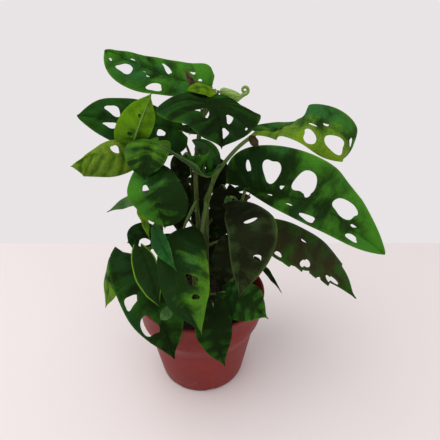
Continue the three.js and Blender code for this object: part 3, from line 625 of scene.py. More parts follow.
def lay(s, t, form, phase):
    """Lays points of the flat sheet in space: s goes from base to tip, t from left to right."""
    place, ahead, _ = along(form["rib"], s)
    up = np.outer(1 - s, form["face"]) + np.outer(s, form["tip_face"])
    up -= (up * ahead).sum(-1, keepdims=True) * ahead
    up /= np.linalg.norm(up, axis=-1, keepdims=True)
    across = np.cross(ahead, up)
    side = np.sign(t)
    run, length = vein_length(s, side, form)
    turn = np.radians(form["first_vein"] - (form["first_vein"] - TIP_VEIN) * np.sqrt(run))
    half = pair(form["width"], side)
    reach = np.abs(t) * half * length
    out = reach * np.sin(turn)
    slope = np.radians(pair(form["fold"], side))
    curl = pair(form["curl"], side)
    bend = np.radians(np.where(curl == 0, 1, curl)) / half
    level = (np.sin(slope + bend * out) - np.sin(slope)) / bend
    rise = (np.cos(slope) - np.cos(slope + bend * out)) / bend + waves(s, t, side, half, form, phase)
    flat = ahead * (reach * np.cos(turn))[:, None] + across * (side * level)[:, None]
    return place + flat + up * rise[:, None], up


print("blade helpers: pair, vein_length, waves, lay")

# %% [markdown]
# ## Windows
#
# A real window opens while the leaf is still rolled, between two side veins. Here the windows are cut
# while the sheet is still flat, where a hole is easy to describe: points next to a window's rim are moved
# onto it, and the faces inside are deleted. Small holes away from the veins' rhythm are given one by one.


# %% Windows
def openings(form):
    """Middle and half size of every window, in the flat sheet."""
    found = []
    for side, windows in zip((-1, 1), form["windows"]):
        for vein, window in windows.items():
            start, end = form["veins"][vein:vein + 2]
            near, far, size, shift = (*window, *(0.72, 0)[len(window) - 2:])
            found.append(((start + end) / 2 + shift * (end - start), side * (near + far) / 2,
                          size * (end - start) / 2, (far - near) / 2))
    return found + list(form["pores"])


def spread(s, t, hole):
    """How far out of a window's middle a point is: 1 is its rim, a blunt, slightly uneven oval."""
    s0, t0, half_s, half_t = hole
    along_s, along_t = (s - s0) / half_s, (t - t0) / half_t
    reach = (np.abs(along_s) ** BLUNT + np.abs(along_t) ** BLUNT) ** (1 / BLUNT)
    turn = np.arctan2(along_t, along_s)
    return reach / (1 + 0.08 * np.sin(2 * turn + 40 * s0) + 0.12 * np.sin(3 * turn + 90 * s0))


def cut(s, t, edges, holes):
    """Moves the points next to each window's rim onto it."""
    stay = (np.abs(t) < 1e-6) | (np.abs(t) > 0.999)
    for hole in holes:
        s0, t0, _, _ = hole
        far = spread(s, t, hole)
        one, two = edges[(far[edges[:, 0]] < 1) != (far[edges[:, 1]] < 1)].T
        first = (np.abs(far[one] - 1) < np.abs(far[two] - 1)) & ~stay[one] | stay[two]
        rim = np.unique(np.where(first, one, two))
        s[rim] = s0 + (s[rim] - s0) / far[rim]
        t[rim] = t0 + (t[rim] - t0) / far[rim]


print("window helpers: openings, spread, cut")

# %% [markdown]
# ## From sheet to leaf
#
# The sheet takes its vein map and its shares of green and yellow along. A Solidify modifier gives it its
# thickness, with the paler skin below. The midrib is a tapered bar under the blade, which runs on into
# the stalk.

# %% The sheet of a blade
CLOSER = 1.45  # above 1, the rows of points lie closer together at the blade's base


def leaf_sheet(name, form):
    """The blade as a mesh, windows and all, with its vein map and its growth shares."""
    _, _, length = along(form["rib"], [0])
    rows = int(20 + length)
    columns = 2 * int(7 + max(form["width"]) / 1.4)
    bpy.ops.mesh.primitive_grid_add(x_subdivisions=rows, y_subdivisions=columns, size=2, calc_uvs=False)
    sheet = bpy.context.object
    sheet.name = name
    bpy.ops.object.mode_set(mode="EDIT")
    bpy.ops.mesh.quads_convert_to_tris(quad_method="FIXED")
    bpy.ops.mesh.select_all(action="DESELECT")
    bpy.ops.object.mode_set(mode="OBJECT")
    mesh = sheet.data
    flat = np.array([v.co for v in mesh.vertices])
    s, t = ((flat[:, 0] + 1) / 2).clip(0, 1) ** CLOSER, flat[:, 1].copy()
    holes = openings(form)
    cut(s, t, np.array([e.vertices[:] for e in mesh.edges]), holes)
    corners = np.array([p.vertices[:] for p in mesh.polygons])
    middle_s, middle_t = s[corners].mean(1), t[corners].mean(1)
    gone = np.zeros(len(corners), bool)
    for hole in holes:
        gone |= spread(middle_s, middle_t, hole) < 1
    mesh.polygons.foreach_set("select", gone)
    phase = sum(map(ord, name)) % 63 / 10
    place, up = lay(s, t, form, phase)
    mesh.vertices.foreach_set("co", (place * MM).ravel())
    chart = mesh.uv_layers.new(name="veins")
    count = np.interp(s, form["veins"], range(len(form["veins"])))
    loops = np.array([loop.vertex_index for loop in mesh.loops])
    chart.data.foreach_set("uv", np.stack([count[loops], t[loops]], -1).ravel())
    growth = mesh.attributes.new("growth", "FLOAT_COLOR", "POINT")
    green = np.interp(s, np.linspace(0, 1, len(form["fresh"])), form["fresh"]) + form["lean"] * t * 0.5
    gold = np.interp(t, np.linspace(-1, 1, len(form["gold"])), form["gold"])
    shares = np.stack([green, gold, s * 0 + form["rim"], s * 0 + 1], -1)
    growth.data.foreach_set("color", shares.ravel())
    mesh.update()
    bpy.ops.object.mode_set(mode="EDIT")
    bpy.ops.mesh.delete(type="FACE")
    bpy.ops.mesh.select_all(action="SELECT")
    bpy.ops.mesh.remove_doubles(threshold=1e-6)
    bpy.ops.object.mode_set(mode="OBJECT")
    facing = sum(p.normal.dot(up.mean(0)) * p.area for p in mesh.polygons)
    if facing < 0:
        bpy.ops.object.mode_set(mode="EDIT")
        bpy.ops.mesh.flip_normals()
        bpy.ops.object.mode_set(mode="OBJECT")
    return sheet


print("sheet helper: leaf_sheet")


# %% Making one leaf
def midrib(form, path, length, pale):
    """The tapered bar under a blade, with the last bit of its stalk."""
    stub, _, _ = along(path, np.linspace(1 - STUB / length, 1, 4))
    shares = np.linspace(0, 0.95, 26)
    spine, _, _ = along(form["rib"], shares)
    stout = min(1, max(form["width"]) / 14 + 0.35)
    thickness = np.interp(shares, (0, 0.15, 1), (1.15, 0.8, 0.22)) * stout
    _, up = lay(shares, shares * 0, form, 0)
    spine = spine - up * (BLADE / 2 + 0.45 * thickness)[:, None]
    points = np.vstack([stub[:-1], spine[1:]])
    radii = np.append([form["stalk_radius"] * 0.98] * 3, thickness[1:])
    return bar("midrib", points, radii, STEM, pale=pale)


def leaf(node, rib, face, width, stalk, slot="leaf", **more):
    """One leaf: its blade with its midrib as a piece, and its stalk, which is kept for the cutting."""
    form = dict(rib=rib, face=face, tip_face=face, width=width, fold=(6, 6), curl=(-35, -35), wave=0.8,
                fullness=(1, 1), slender=(1, 1), lobe=0.1, first_vein=150, veins=EVEN_VEINS,
                windows=({}, {}), pores=(), teeth=(), stalk_radius=1.2,
                fresh=(0.3, 0.5), lean=0.0, gold=(0, 0), rim=0.15, skin=(slot, slot))
    form.update(more)
    sheet = leaf_sheet(node.replace("leaf_", "blade_"), form)
    upper, under = form["skin"]
    sheet.data.materials.append(UPPER[upper])
    sheet.data.materials.append(UNDER[under])
    thickened(sheet, BLADE, other_side=1)

    cutting, height, *passing = stalk
    path = [cutting_at(cutting, height), *passing, rib[0]]
    _, _, length = along(path, [0])
    bone = midrib(form, path, length, pale=0.9 if slot == "leaf_young" else 0.35)
    stalks[cutting].append((path, form["stalk_radius"], length))
    return stands_for(joined(sheet.name, [sheet, bone]), slot, node)


print("leaf helpers: midrib, leaf")

# %% [markdown]
# ## The numbers of a leaf
#
# Each leaf below is one call. The first numbers give its shape: the points that its midrib goes through,
# the way that it faces at its base and tip, the length of its longest side vein left and right, how it
# folds and curls down, the shape of its outline, and its windows. Those are given left and right: after
# which side vein, from how near to the midrib to how far, and then the size and the shift. The others
# give its look: how fresh its green is from base to tip and how that leans to one side, which on some
# blades paints light and shade, how golden it is from its left edge to its right, which on some blades is
# painted light shining through, and how much painted light its rim gets. The last gives the cutting and
# the height where its stalk starts, and the points that the stalk passes.

# %% [markdown]
# ## The crown
#
# The top leaves are the largest and reach furthest. They show their upper side to the light, and the one
# on the right hangs its outer half down, painted pale yellow there as light shining through.

# %% The crown
leaf("leaf_top_left",
     rib=((12, 11, 269), (-16, 15, 274), (-64, 1, 293)), face=(-0.1, -0.5, 0.85), width=(24, 20),
     fold=(-7, 43), curl=(-55, -36), fullness=(1.8, 0.35), slender=(0.71, 0.43), lobe=0.02, first_vein=91,
     veins=(0, 0.14, 0.32, 0.53, 0.66, 0.83, 1),
     windows=({2: (0.6, 0.86, 0.54, 0.12), 4: (0.28, 0.68, 0.74, -0.06)}, {2: (0.14, 0.7, 0.34, -0.14)}),
     pores=((0.88, -0.57, 0.018, 0.07), (0.85, 0.18, 0.012, 0.04), (0.74, 0.25, 0.022, 0.05),
            (0.61, -0.22, 0.012, 0.035), (0.56, -0.35, 0.013, 0.04), (0.14, 0.48, 0.025, 0.05),
            (0.1, 0.18, 0.02, 0.05)),
     fresh=(0.85, 0.6, 0.75), lean=-0.1, rim=0.2, stalk=("middle", 240, (7, 14, 258)))
leaf("leaf_top_left_small",
     rib=((14, 2, 266), (3, -6, 269), (-7, -10, 267)), face=(0, -0.7, 0.7), width=(6, 6), veins=THREE_PARTS,
     slot="leaf_young", fresh=(0.5, 0.6), stalk=("middle", 244, (11, 16, 256), (14, 11, 266)))
leaf("leaf_top_centre",
     rib=((10, 1, 262), (9, -20, 260), (17, -49, 255), (19, -66, 239)), face=(0, -0.2, 1), width=(33, 38),
     fold=(8, 16), curl=(-41, -43), fullness=(0.97, 0.79), slender=(0.77, 0.79), lobe=0.03, first_vein=131,
     veins=(0, 0.13, 0.28, 0.46, 0.66, 0.76, 1),
     windows=({4: (0.22, 0.42, 0.8), 5: (0.12, 0.5, 0.4, -0.12)}, {3: (0.24, 0.44, 0.84)}),
     pores=((0.71, -0.85, 0.012, 0.03),),
     slot="leaf_dark", fresh=(0.2, 0.2, 0.0), lean=0.25, rim=0.25, stalk=("middle", 222, (5, 6, 246)))
leaf("leaf_upper_right",
     rib=((47, -2, 237), (67, 0, 239), (80, -13, 247), (113, -12, 234), (118, -1, 220), (117, 5, 212)),
     face=(0, 0, 1), tip_face=(0.5, -0.8, 0.3), width=(19, 23), fold=(25, -4), curl=(-21, -61),
     fullness=(1.41, 1.61), slender=(1.03, 1.2), first_vein=143, veins=(0, 0.12, 0.25, 0.36, 0.49, 0.73, 1),
     windows=({5: (0.1, 0.34, 0.34, -0.28)}, {3: (0.43, 0.86, 0.6, 0.1), 4: (0.26, 0.74, 0.66)}),
     pores=((0.44, 0.15, 0.03, 0.05), (0.53, -0.05, 0.02, 0.06)),
     fresh=(0.4, 0.6, 0.75), lean=0.5, gold=(0, 0, 0.75, 0.8), rim=0.1, stalk_radius=1.8,
     stalk=("front", 182, (15, -3, 203), (31, -2, 224)))
print("the crown:", 4, "leaves")

# %% [markdown]
# ## The right side
#
# One big leaf with two rows of long windows reaches far out, and dark, torn and narrow ones hang below
# it.

# %% The right side
leaf("leaf_right_big",
     rib=((39, -8, 194), (78, -39, 194), (103, -35, 182), (142, -46, 154)), face=(0.1, -0.95, 0.4),
     tip_face=(0.1, -0.7, 0.65), width=(36, 16), fold=(25, 12), curl=(-15, -48), fullness=(0.54, 1.55),
     slender=(0.51, 0.58), lobe=0.07, first_vein=182, veins=(0, 0.03, 0.1, 0.25, 0.41, 0.52, 0.71, 1),
     windows=({1: (0.42, 0.7, 0.3), 2: (0.2, 0.7, 0.55), 3: (0.14, 0.66, 0.58, 0.12), 5: (0.12, 0.62, 0.8)},
              {4: (0.56, 0.84, 0.8), 6: (0.4, 0.7, 0.26, -0.33)}),
     pores=((0.2, 0.2, 0.016, 0.07), (0.35, 0.43, 0.016, 0.05), (0.25, -0.17, 0.012, 0.04),
            (0.74, -0.12, 0.016, 0.07), (0.39, -0.16, 0.012, 0.05)),
     fresh=(-0.1, 0.45, 0.9), lean=-0.3, rim=0.2, stalk_radius=1.5, stalk=("right", 165))
# The dusky upper skin is painted shade, and the rim share paints a lit edge.
leaf("leaf_right_hanging",
     rib=((25, -29, 181), (33, -57, 178), (32, -66, 130)), face=(0, -0.3, 0.9), tip_face=(0, -1, 0),
     width=(27, 10), fold=(14, 1), curl=(-34, -32), fullness=(0.65, 1.08), slender=(0.69, 0.84), lobe=0.11,
     first_vein=185, veins=(0, 0.12, 0.25, 0.43, 0.6, 0.77, 1),
     windows=({2: (0.14, 0.5, 0.26, -0.25), 3: (0.4, 0.72, 0.24, 0.1)}, {}),
     slot="leaf_dark", skin=("dusky", "leaf_dark"), fresh=(0.1, 0.2, 0.75), lean=0.2, rim=0.6,
     stalk=("right", 150))
leaf("leaf_right_torn",
     rib=((60, -15, 163), (90, -22, 147), (135, -30, 101)), face=(0.1, -0.7, 0.7), width=(18, 22),
     fold=(3, 6), curl=(-44, -35), wave=2, fullness=(1.22, 0.54), slender=(0.91, 0.75), first_vein=149,
     veins=(0, 0.13, 0.28, 0.43, 0.57, 0.77, 1),
     windows=({}, {2: (0.54, 0.86, 0.58, -0.03), 4: (0.43, 0.83, 0.78)}),
     pores=((0.3, -0.17, 0.025, 0.05), (0.34, 0.6, 0.02, 0.05), (0.14, 0.82, 0.025, 0.07)),
     teeth=((1, 0.18, 0.24, 0.1), (1, 0.27, 0.34, 0.12), (1, 0.36, 0.41, -0.1), (1, 0.43, 0.5, 0.1),
            (1, 0.5, 0.54, -0.12), (1, 0.52, 0.63, 0.3), (-1, 0.5, 0.66, 0.25)),
     slot="leaf_dark", skin=("aged", "aged"), fresh=(0.5, 0.4, 0.6), lean=-0.3, rim=0.5,
     stalk=("right", 130))
leaf("leaf_right_narrow",
     rib=((51, 10, 118), (64, 6, 104), (78, 4, 82)), face=(0.6, -0.4, 0.6), width=(4, 4), veins=THREE_PARTS,
     slot="leaf_dark", fresh=(0.2, 0.2), stalk=("right", 100))
print("the right side:", 4, "leaves")

# %% [markdown]
# ## The left side
#
# Here the leaves are younger: smaller, olive or yellow-green, with few windows or none.

# %% The left side
leaf("leaf_left_dark",
     rib=((-13, 4, 237), (-48, -7, 245), (-85, -14, 251)), face=(0, -0.75, 0.65), width=(24, 23),
     fold=(1, 9), curl=(-37, -32), fullness=(0.59, 1.1), slender=(0.5, 0.76), lobe=0.02, first_vein=138,
     veins=(0, 0.12, 0.3, 0.5, 0.76, 1),
     windows=({1: (0.1, 0.34, 0.4, -0.1), 3: (0.18, 0.55, 0.5, 0.06)}, {3: (0.14, 0.66, 0.44)}),
     slot="leaf_dark", fresh=(0.8, 0.7), rim=0.2, stalk=("middle", 205))
leaf("leaf_left_upright",
     rib=((-45, -22, 231), (-39, -31, 243), (-29, -22, 266)), face=(-0.3, 0.85, 0.2), width=(11, 15),
     fold=(17, 15), curl=(-30, -27), fullness=(1.09, 0.68), slender=(0.9, 0.67), lobe=0.04, first_vein=125,
     veins=(0, 0.17, 0.33, 0.5, 0.66, 0.82, 1), windows=({}, {1: (0.12, 0.38, 0.55), 3: (0.1, 0.28, 0.4)}),
     slot="leaf_young", fresh=(0.6, 0.75), gold=(0.1, 0.1),
     stalk=("left", 200, (-37, -12, 214), (-44, -18, 224)))
leaf("leaf_left_olive",
     rib=((-45, -27, 222), (-69, -39, 228), (-82, -46, 222)), face=(0, -0.8, 0.6), width=(19, 15),
     fold=(-3, -1), curl=(-73, -12), fullness=(1.05, 0.42), slender=(0.76, 1.32), lobe=0.06, first_vein=108,
     veins=(0, 0.14, 0.3, 0.46, 0.63, 0.8, 1), windows=({}, {1: (0.23, 0.7, 0.74, -0.03)}),
     slot="leaf_young", fresh=(0.35, 0.6, 0.35), lean=0.5, gold=(0.15, 0.15),
     stalk=("left", 190, (-44, -18, 210)))
# The fresh share paints light on the arched top near the base and shade on the tip that curls down.
leaf("leaf_left_green",
     rib=((-25, -27, 235), (-29, -40, 234), (-33, -50, 214)), face=(0, -0.3, 0.95),
     tip_face=(0, -0.95, 0.3), width=(14, 18),
     fresh=(1.3, 0.3, -0.8), gold=(0.1, 0.1), stalk=("left", 198, (-34, -20, 213)))
leaf("leaf_centre_cupped",
     rib=((14, -20, 212), (6, -26, 210), (-4, -36, 221), (-22, -50, 238)), face=(-0.3, -0.6, 0.7),
     width=(11, 28), fold=(62, 62), curl=(-10, -40), fullness=(1, 0.42), slender=(0.6, 2), first_vein=180,
     windows=({}, {1: (0.55, 0.75, 0.7)}), pores=((0.12, 0.15, 0.03, 0.04),),
     skin=("leaf", "pale"), fresh=(0.45, 0.6), stalk=("front", 178))
leaf("leaf_left_round",
     rib=((-30, -36, 217), (-28, -49, 209), (-22, -45, 176)), face=(-0.2, -0.5, 0.85),
     tip_face=(0, -0.95, -0.2), width=(22, 19), fold=(10, 12), curl=(-35, -33), fullness=(1.49, 0.8),
     slender=(0.94, 0.73), lobe=0.09, first_vein=153, windows=({}, {2: (0.14, 0.38, 0.7, -0.08)}),
     fresh=(0.45, 0.3), lean=1.3, rim=0.2, stalk=("left", 180))
leaf("leaf_left_thin",
     rib=((-40, 8, 184), (-57, 4, 180), (-79, 0, 169)), face=(0, -0.6, 0.8), width=(7, 6),
     veins=THREE_PARTS,
     skin=("pale", "pale"), fresh=(0.6, 0.6), stalk=("left", 160))
leaf("leaf_left_strip",
     rib=((-47, -20, 190), (-42, -28, 176), (-37, -32, 159)), face=(-0.6, -0.8, 0.1), width=(6, 5),
     veins=THREE_PARTS,
     slot="leaf_young", fresh=(0.4, 0.5), stalk=("left", 170))
leaf("leaf_left_gloss",
     rib=((-28, -53, 181), (-23, -66, 178), (-16, -80, 174), (-9, -89, 167)), face=(-0.5, -0.2, 0.85),
     width=(5, 6.5), fold=(20, 20), fullness=(1.2, 1.2), veins=FEW_VEINS,
     skin=("glossy", "leaf"), fresh=(-0.4, 0.15, 0.45), rim=0.3,
     stalk=("left", 158, (-33, -22, 168), (-31, -42, 176)))
leaf("leaf_small_oval",
     rib=((25, -3, 184), (25, -5, 179), (25, -6, 174)), face=(0, -0.9, 0.4), width=(3.5, 3.5),
     veins=FEW_VEINS,
     slot="leaf_young", skin=("pale", "pale"), fresh=(0.3, 0.3), stalk=("right", 167, (31, -1, 182)))
print("the left side:", 10, "leaves")

# %% [markdown]
# ## Over the pot's front
#
# The lowest leaves arch over the rim and hang their tips in front of the pot.

# %% Over the pot's front
leaf("leaf_low_left_back",
     rib=((-41, 3, 142), (-45, -2, 147), (-62, -9, 144)), face=(-0.1, -0.7, 0.7), width=(14, 16),
     fold=(5, 7), curl=(-35, -34), fullness=(1.16, 1.14), slender=(1.03, 1.02), lobe=0.09, first_vein=148,
     veins=(0, 0.12, 0.26, 0.66, 0.82, 1), windows=({2: (0.12, 0.62, 0.84)}, {}),
     slot="leaf_dark", fresh=(0.1, 0.25), rim=0.2, stalk=("left", 120, (-33, 6, 134)))
leaf("leaf_low_left_arched",
     rib=((-43, -15, 129), (-65, -30, 137), (-81, -32, 93)), face=(-0.3, -0.3, 0.9),
     tip_face=(-0.7, -0.7, 0.1), width=(15, 15), fold=(7, 8), curl=(-33, -35), fullness=(1.13, 1.05),
     slender=(0.81, 0.88), first_vein=149,
     fresh=(-0.1, 0.2, 1.4), gold=(0.6, 0.6), stalk=("left", 110))
leaf("leaf_low_left_big",
     rib=((-48, -42, 147), (-26, -66, 110), (-18, -68, 72)), face=(-0.2, -0.6, 0.8), tip_face=(0, -1, 0.2),
     width=(19, 31), fold=(6, 1), curl=(-35, -43), fullness=(0.99, 0.75), slender=(0.89, 0.68), lobe=0.12,
     first_vein=149, veins=(0, 0.1, 0.22, 0.38, 0.66, 0.83, 1),
     windows=({}, {2: (0.36, 0.84, 0.51, -0.14), 3: (0.19, 0.86, 0.69, 0.05)}),
     teeth=((-1, 0.16, -0.01, -0.35),),
     slot="leaf_dark", fresh=(0.6, 0.45, 0.2), rim=0.2, stalk=("left", 115, (-40, -30, 138)))
# The low fresh share paints shade over the blade, and the high rim share and gold paint a lit yellow-green
# edge.
leaf("leaf_left_crescent",
     rib=((-40, -50, 161), (-29, -69, 146), (-22, -84, 134)), face=(-0.4, -0.6, 0.7), width=(9, 12),
     fold=(26, 25), curl=(-34, -36), fullness=(1, 0.96), slender=(1.01, 0.77), lobe=0.11, first_vein=147,
     fresh=(-1.2, -1.1), lean=0.3, gold=(0.5, 0.5), rim=3.0, stalk=("left", 140))
# The low fresh share at the base paints shade on the arched top.
leaf("leaf_front_main",
     rib=((-11, -29, 167), (-15, -58, 168), (-9, -84, 148), (5, -82, 109)), face=(0, -0.1, 1),
     tip_face=(0, -1, 0.2), width=(28, 12), fold=(-3, 13), curl=(-49, -33), fullness=(0.81, 1.32),
     slender=(0.78, 1.13), lobe=0.07, first_vein=145, veins=(0, 0.12, 0.27, 0.42, 0.56, 0.72, 1),
     windows=({3: (0.29, 0.64, 0.49, 0.09), 4: (0.41, 0.68, 0.27, -0.15)}, {}),
     fresh=(-1.2, 0.0, 0.25, 0.3), lean=-1.4, gold=(0.1, 0), stalk=("low", 130, (-4, -24, 150)))
leaf("leaf_front_pale",
     rib=((-16, -80, 131), (-19, -82, 128), (-23, -84, 124)), face=(0, -0.9, 0.4), width=(4, 4),
     veins=(0, 0.4, 1),
     slot="leaf_young", skin=("pale", "pale"), fresh=(0.15, 0.15),
     stalk=("low", 112, (-6, -48, 122), (-13, -68, 129)))
leaf("leaf_low_centre",
     rib=((13, -54, 113), (13, -69, 104), (22, -72, 68)), face=(0, -0.7, 0.7), tip_face=(0, -1, 0.1),
     width=(15, 15), fold=(5, 3), curl=(-35, -37), fullness=(0.71, 0.93), slender=(0.93, 0.84), lobe=0.11,
     first_vein=153,
     slot="leaf_dark", fresh=(0.1, 0.3), stalk=("low", 115))
leaf("leaf_low_right",
     rib=((22, -37, 113), (39, -52, 115), (57, -51, 97)), face=(0.1, -0.7, 0.7), width=(17, 18),
     fold=(2, 5), curl=(-37, -36), fullness=(0.92, 0.74), slender=(1.08, 1),
     fresh=(0.1, 0.5), stalk=("low", 105, (14, -33, 108)))
print("over the pot's front:", 8, "leaves")

# %% [markdown]
# ## Inside and behind
#
# Shaded leaves fill the plant's inside and its far side. They get little light, and their dark and dusky
# skins with a low fresh share are painted shade as well.

# %% Inside and behind
INNER = {  # the set of veins, how fresh the tip is, the width, the midrib's points and the stalk
    "high": (EVEN_VEINS, 0.15, (16, 16), ((23, 8, 186), (24, 10, 170), (25, 9, 142)),
             ("back", 160, (12, 17, 175), (20, 16, 188))),
    "left": (FEW_VEINS, 0.15, (13, 13), ((-16, 12, 193), (-18, 14, 172), (-20, 12, 140)),
             ("back", 155, (-11, 18, 186))),
    "centre": (FEW_VEINS, 0.15, (9, 9), ((1, 10, 205), (1, 9, 188), (1, 8, 160)),
               ("back", 165, (-4, 20, 190), (-2, 18, 203))),
    "low": (EVEN_VEINS, 0.15, (16, 16), ((16, 12, 138), (18, 16, 125), (20, 14, 97)),
            ("back", 120, (9, 20, 134))),
    "front": (EVEN_VEINS, 0.15, (12, 11), ((24, -16, 152), (22, -24, 138), (18, -27, 106)), ("front", 140)),
    "up_left": (FEW_VEINS, 0.1, (11, 11), ((-15, 29, 210), (-17, 32, 198), (-16, 30, 186)),
                ("back", 164, (-6, 18, 194), (-10, 22, 215))),
    "up_right": (FEW_VEINS, 0.1, (11, 11), ((14, 26, 207), (16, 29, 192), (15, 26, 177)),
                 ("back", 168, (9, 19, 204))),
    "mid": (FEW_VEINS, 0.1, (14, 14), ((2, 31, 156), (3, 34, 144), (3, 31, 130)),
            ("back", 128, (1, 26, 146))),
    "low_left": (FEW_VEINS, 0.1, (13, 13), ((-16, 8, 130), (-17, 11, 116), (-17, 9, 93)),
                 ("middle", 112, (-9, 4, 122))),
}
# Dusky upper skins and a low fresh share: painted shade.
for name, (veins, fresh, width, rib, stalk) in INNER.items():
    leaf(f"leaf_inner_{name}", rib, (0, -0.9, 0.4), width, stalk, veins=veins, slot="leaf_dark",
         skin=("dusky", "leaf_dark"), fresh=(0, fresh))
BEHIND = {  # how much it faces back, the width, the midrib's points and the stalk
    "top": (0.1, (18, 18), ((2, 20, 233), (-3, 42, 236), (-12, 72, 222)), ("middle", 215)),
    "left_high": (0.1, (17, 17), ((-37, 8, 192), (-46, 28, 192), (-60, 54, 174)), ("left", 172)),
    "right_high": (0.1, (18, 17), ((40, 14, 184), (53, 32, 184), (72, 56, 166)), ("right", 158)),
    "high": (0.2, (20, 20), ((2, 27, 179), (-2, 48, 184), (-8, 76, 168)), ("back", 150)),
    "right": (0.2, (18, 18), ((20, 20, 168), (30, 42, 172), (40, 68, 150)), ("back", 140)),
    "left": (0.2, (19, 19), ((-16, 22, 160), (-26, 44, 164), (-38, 66, 140)), ("back", 132)),
    "low": (0.2, (20, 20), ((8, 36, 128), (12, 60, 134), (14, 86, 106)), ("back", 110)),
    "low_left": (0.2, (18, 18), ((-18, 32, 118), (-34, 52, 122), (-46, 72, 92)), ("back", 104)),
    "low_right": (0.2, (18, 17), ((26, 28, 115), (42, 48, 120), (56, 66, 92)), ("back", 98)),
}
# Dark skins and a low fresh share: painted shade.
for name, (leans, width, rib, stalk) in BEHIND.items():
    leaf(f"leaf_back_{name}", rib, (0, leans, 1), width, stalk, veins=BACK_VEINS, windows=FEW_WINDOWS,
         slot="leaf_dark", fresh=(0.1, 0.2))
print("inside and behind:", len(INNER) + len(BEHIND), "leaves")

# %% [markdown]
# ## The new leaf, still rolled
#
# The youngest leaf is a tight roll with a hooked tip. A bar that swells and thins again gives the roll,
# and a thinner one on a near full circle the hook. A fine bar wound around the roll is the edge of the
# outer turn. Its green is light and tender, and shines through a little.


# %% Skin of the rolled leaf
def new_leaf_skin():
    """Tender light green with fine lengthwise lines."""
    material, tree, place = fresh_tree("rolled_green")
    lines = clouds(tree, drawn_out(tree, place, (0.2, 1, 1)), 900, 3)
    colour = paint(tree, fade(tree, lines, 0.35, 0.7), (0.12, 0.26, 0.03, 1), (0.30, 0.44, 0.08, 1))
    skin = add(tree, "ShaderNodeBsdfPrincipled", {"Base Color": colour, "Roughness": 0.42})
    glow = add(tree, "ShaderNodeBsdfTranslucent", {"Color": (0.3, 0.5, 0.06, 1)})
    both = add(tree, "ShaderNodeMixShader", {0: 0.15, 1: skin.outputs[0], 2: glow.outputs[0]})
    add(tree, "ShaderNodeOutputMaterial", {"Surface": both.outputs[0]})
    return material


NEW_LEAF = new_leaf_skin()
print("skin of the rolled leaf:", NEW_LEAF.name)


# %% Rolled leaf
def rolled_leaf():
    """The roll, its hooked tip and the free edge of its outer turn."""
    middle = [(18, 6, 266.5), (25, 5, 264), (33, 3, 261)]
    swell = ((0, 0.12, 0.5, 0.85, 1), (1.6, 3.1, 3.8, 3.6, 2.6))
    roll = smooth_bar("roll", middle, 18, *swell, NEW_LEAF)
    turns = np.radians(np.linspace(-90, 330, 34))
    reaches = np.linspace(2.9, 1.1, 34)
    hook = [(31, 3, 261)]
    hook += [(36.5 + r * math.cos(a), 3, 267 + r * math.sin(a)) for r, a in zip(reaches, turns)]
    tip = smooth_bar("hook", hook, 56, (0, 0.3, 1), (2.2, 1.45, 0.8), NEW_LEAF)
    spots = np.linspace(0.08, 0.96, 40)
    line, way, _ = along(middle, spots)
    side = np.cross(way, (0, -1, 0.3))
    side /= np.linalg.norm(side, axis=1, keepdims=True)
    over = np.cross(side, way)
    turn = np.radians(-60 + 170 * spots)[:, None]
    reach = np.interp(spots, *swell)[:, None] * 0.97
    edge = line + reach * (side * np.cos(turn) + over * np.sin(turn))
    seam = bar("seam", edge, np.interp(spots, (0, 0.5, 1), (0.2, 0.45, 0.2)), NEW_LEAF)
    return stands_for(joined("rolled_leaf", [roll, tip, seam]), "leaf_young", "leaf_rolled")


rolled_leaf()
start = cutting_at("middle", 246)
path = [start, (12, 16, 257), (16, 12, 264), (16.8, 6.3, 266.5)]
stalks["middle"].append((path, 1.2, along(path, [0])[2] + STALK_END))
print("rolled leaf: done")

# %% [markdown]
# ## Stems and stalks
#
# A stem is thickest at its joints, where each leaf stalk clasps it, and the joints are brown and corky.
# Just above the soil the whole stem is brown. A stalk is thick where it clasps the stem, thin along its
# length, and a little thicker again below its blade. A stem and its stalks have grown as one, so they are
# joined. Two stems also have a bare side shoot, which hangs down in front and is joined to its stem as
# well.


# %% Stems and stalks
BULGE, RING, RING_DROP = 2.2, 1.2, 2.5  # a joint's height, its brown ring's, and how far below that lies
BROWN_FOOT = 16  # how far above the soil a stem is brown, mm
side_shoots = {}


def cutting(name):
    """One stem with all its leaf stalks."""
    _, thick = CUTTINGS[name]
    shares = np.linspace(0, 1, 70)
    line, _, _ = cutting_line(name, shares)
    height = line[:, 2]
    joints = [*(path[0][2] for path, _, _ in stalks[name]), SOIL_LEVEL + 10]
    bulge = sum(np.exp(-((height - z) / BULGE) ** 2) for z in joints).clip(0, 1)
    ring = sum(np.exp(-((height - z + RING_DROP) / RING) ** 2) for z in joints).clip(0, 1)
    foot = np.interp(height, (SOIL_LEVEL, SOIL_LEVEL + BROWN_FOOT), (0.9, 0.15))
    brown = (foot + 0.5 * ring).clip(0, 1)
    radii = thick * (0.86 + 0.3 * bulge) * np.interp(shares, (0, 0.9, 1), (1, 1, 0.8))
    parts = [bar(f"cutting_{name}", line, radii, STEM, brown=brown, pale=0.1)]
    for path, radius, length in stalks[name]:
        shares = np.linspace(0, 1 - STALK_END / length, int(8 + length / 3.5))
        line, _, _ = along(path, shares)
        gone = shares * length
        radii = radius * np.interp(gone, (0, 4, 12, length - 8, length), (1.55, 1.35, 0.95, 0.85, 1.0))
        tone = np.interp(gone, (0, 5), (0.35, 0.0))
        pale = np.interp(gone, (0, length), (0.1, 0.75 if radius > 1.6 else 0.35))
        parts.append(bar("stalk", line, radii, STEM, brown=tone, pale=pale))
    if name in side_shoots:
        parts.append(side_shoots[name])
    return stands_for(joined(f"cutting_{name}", parts), "stem", f"stem_{name}")


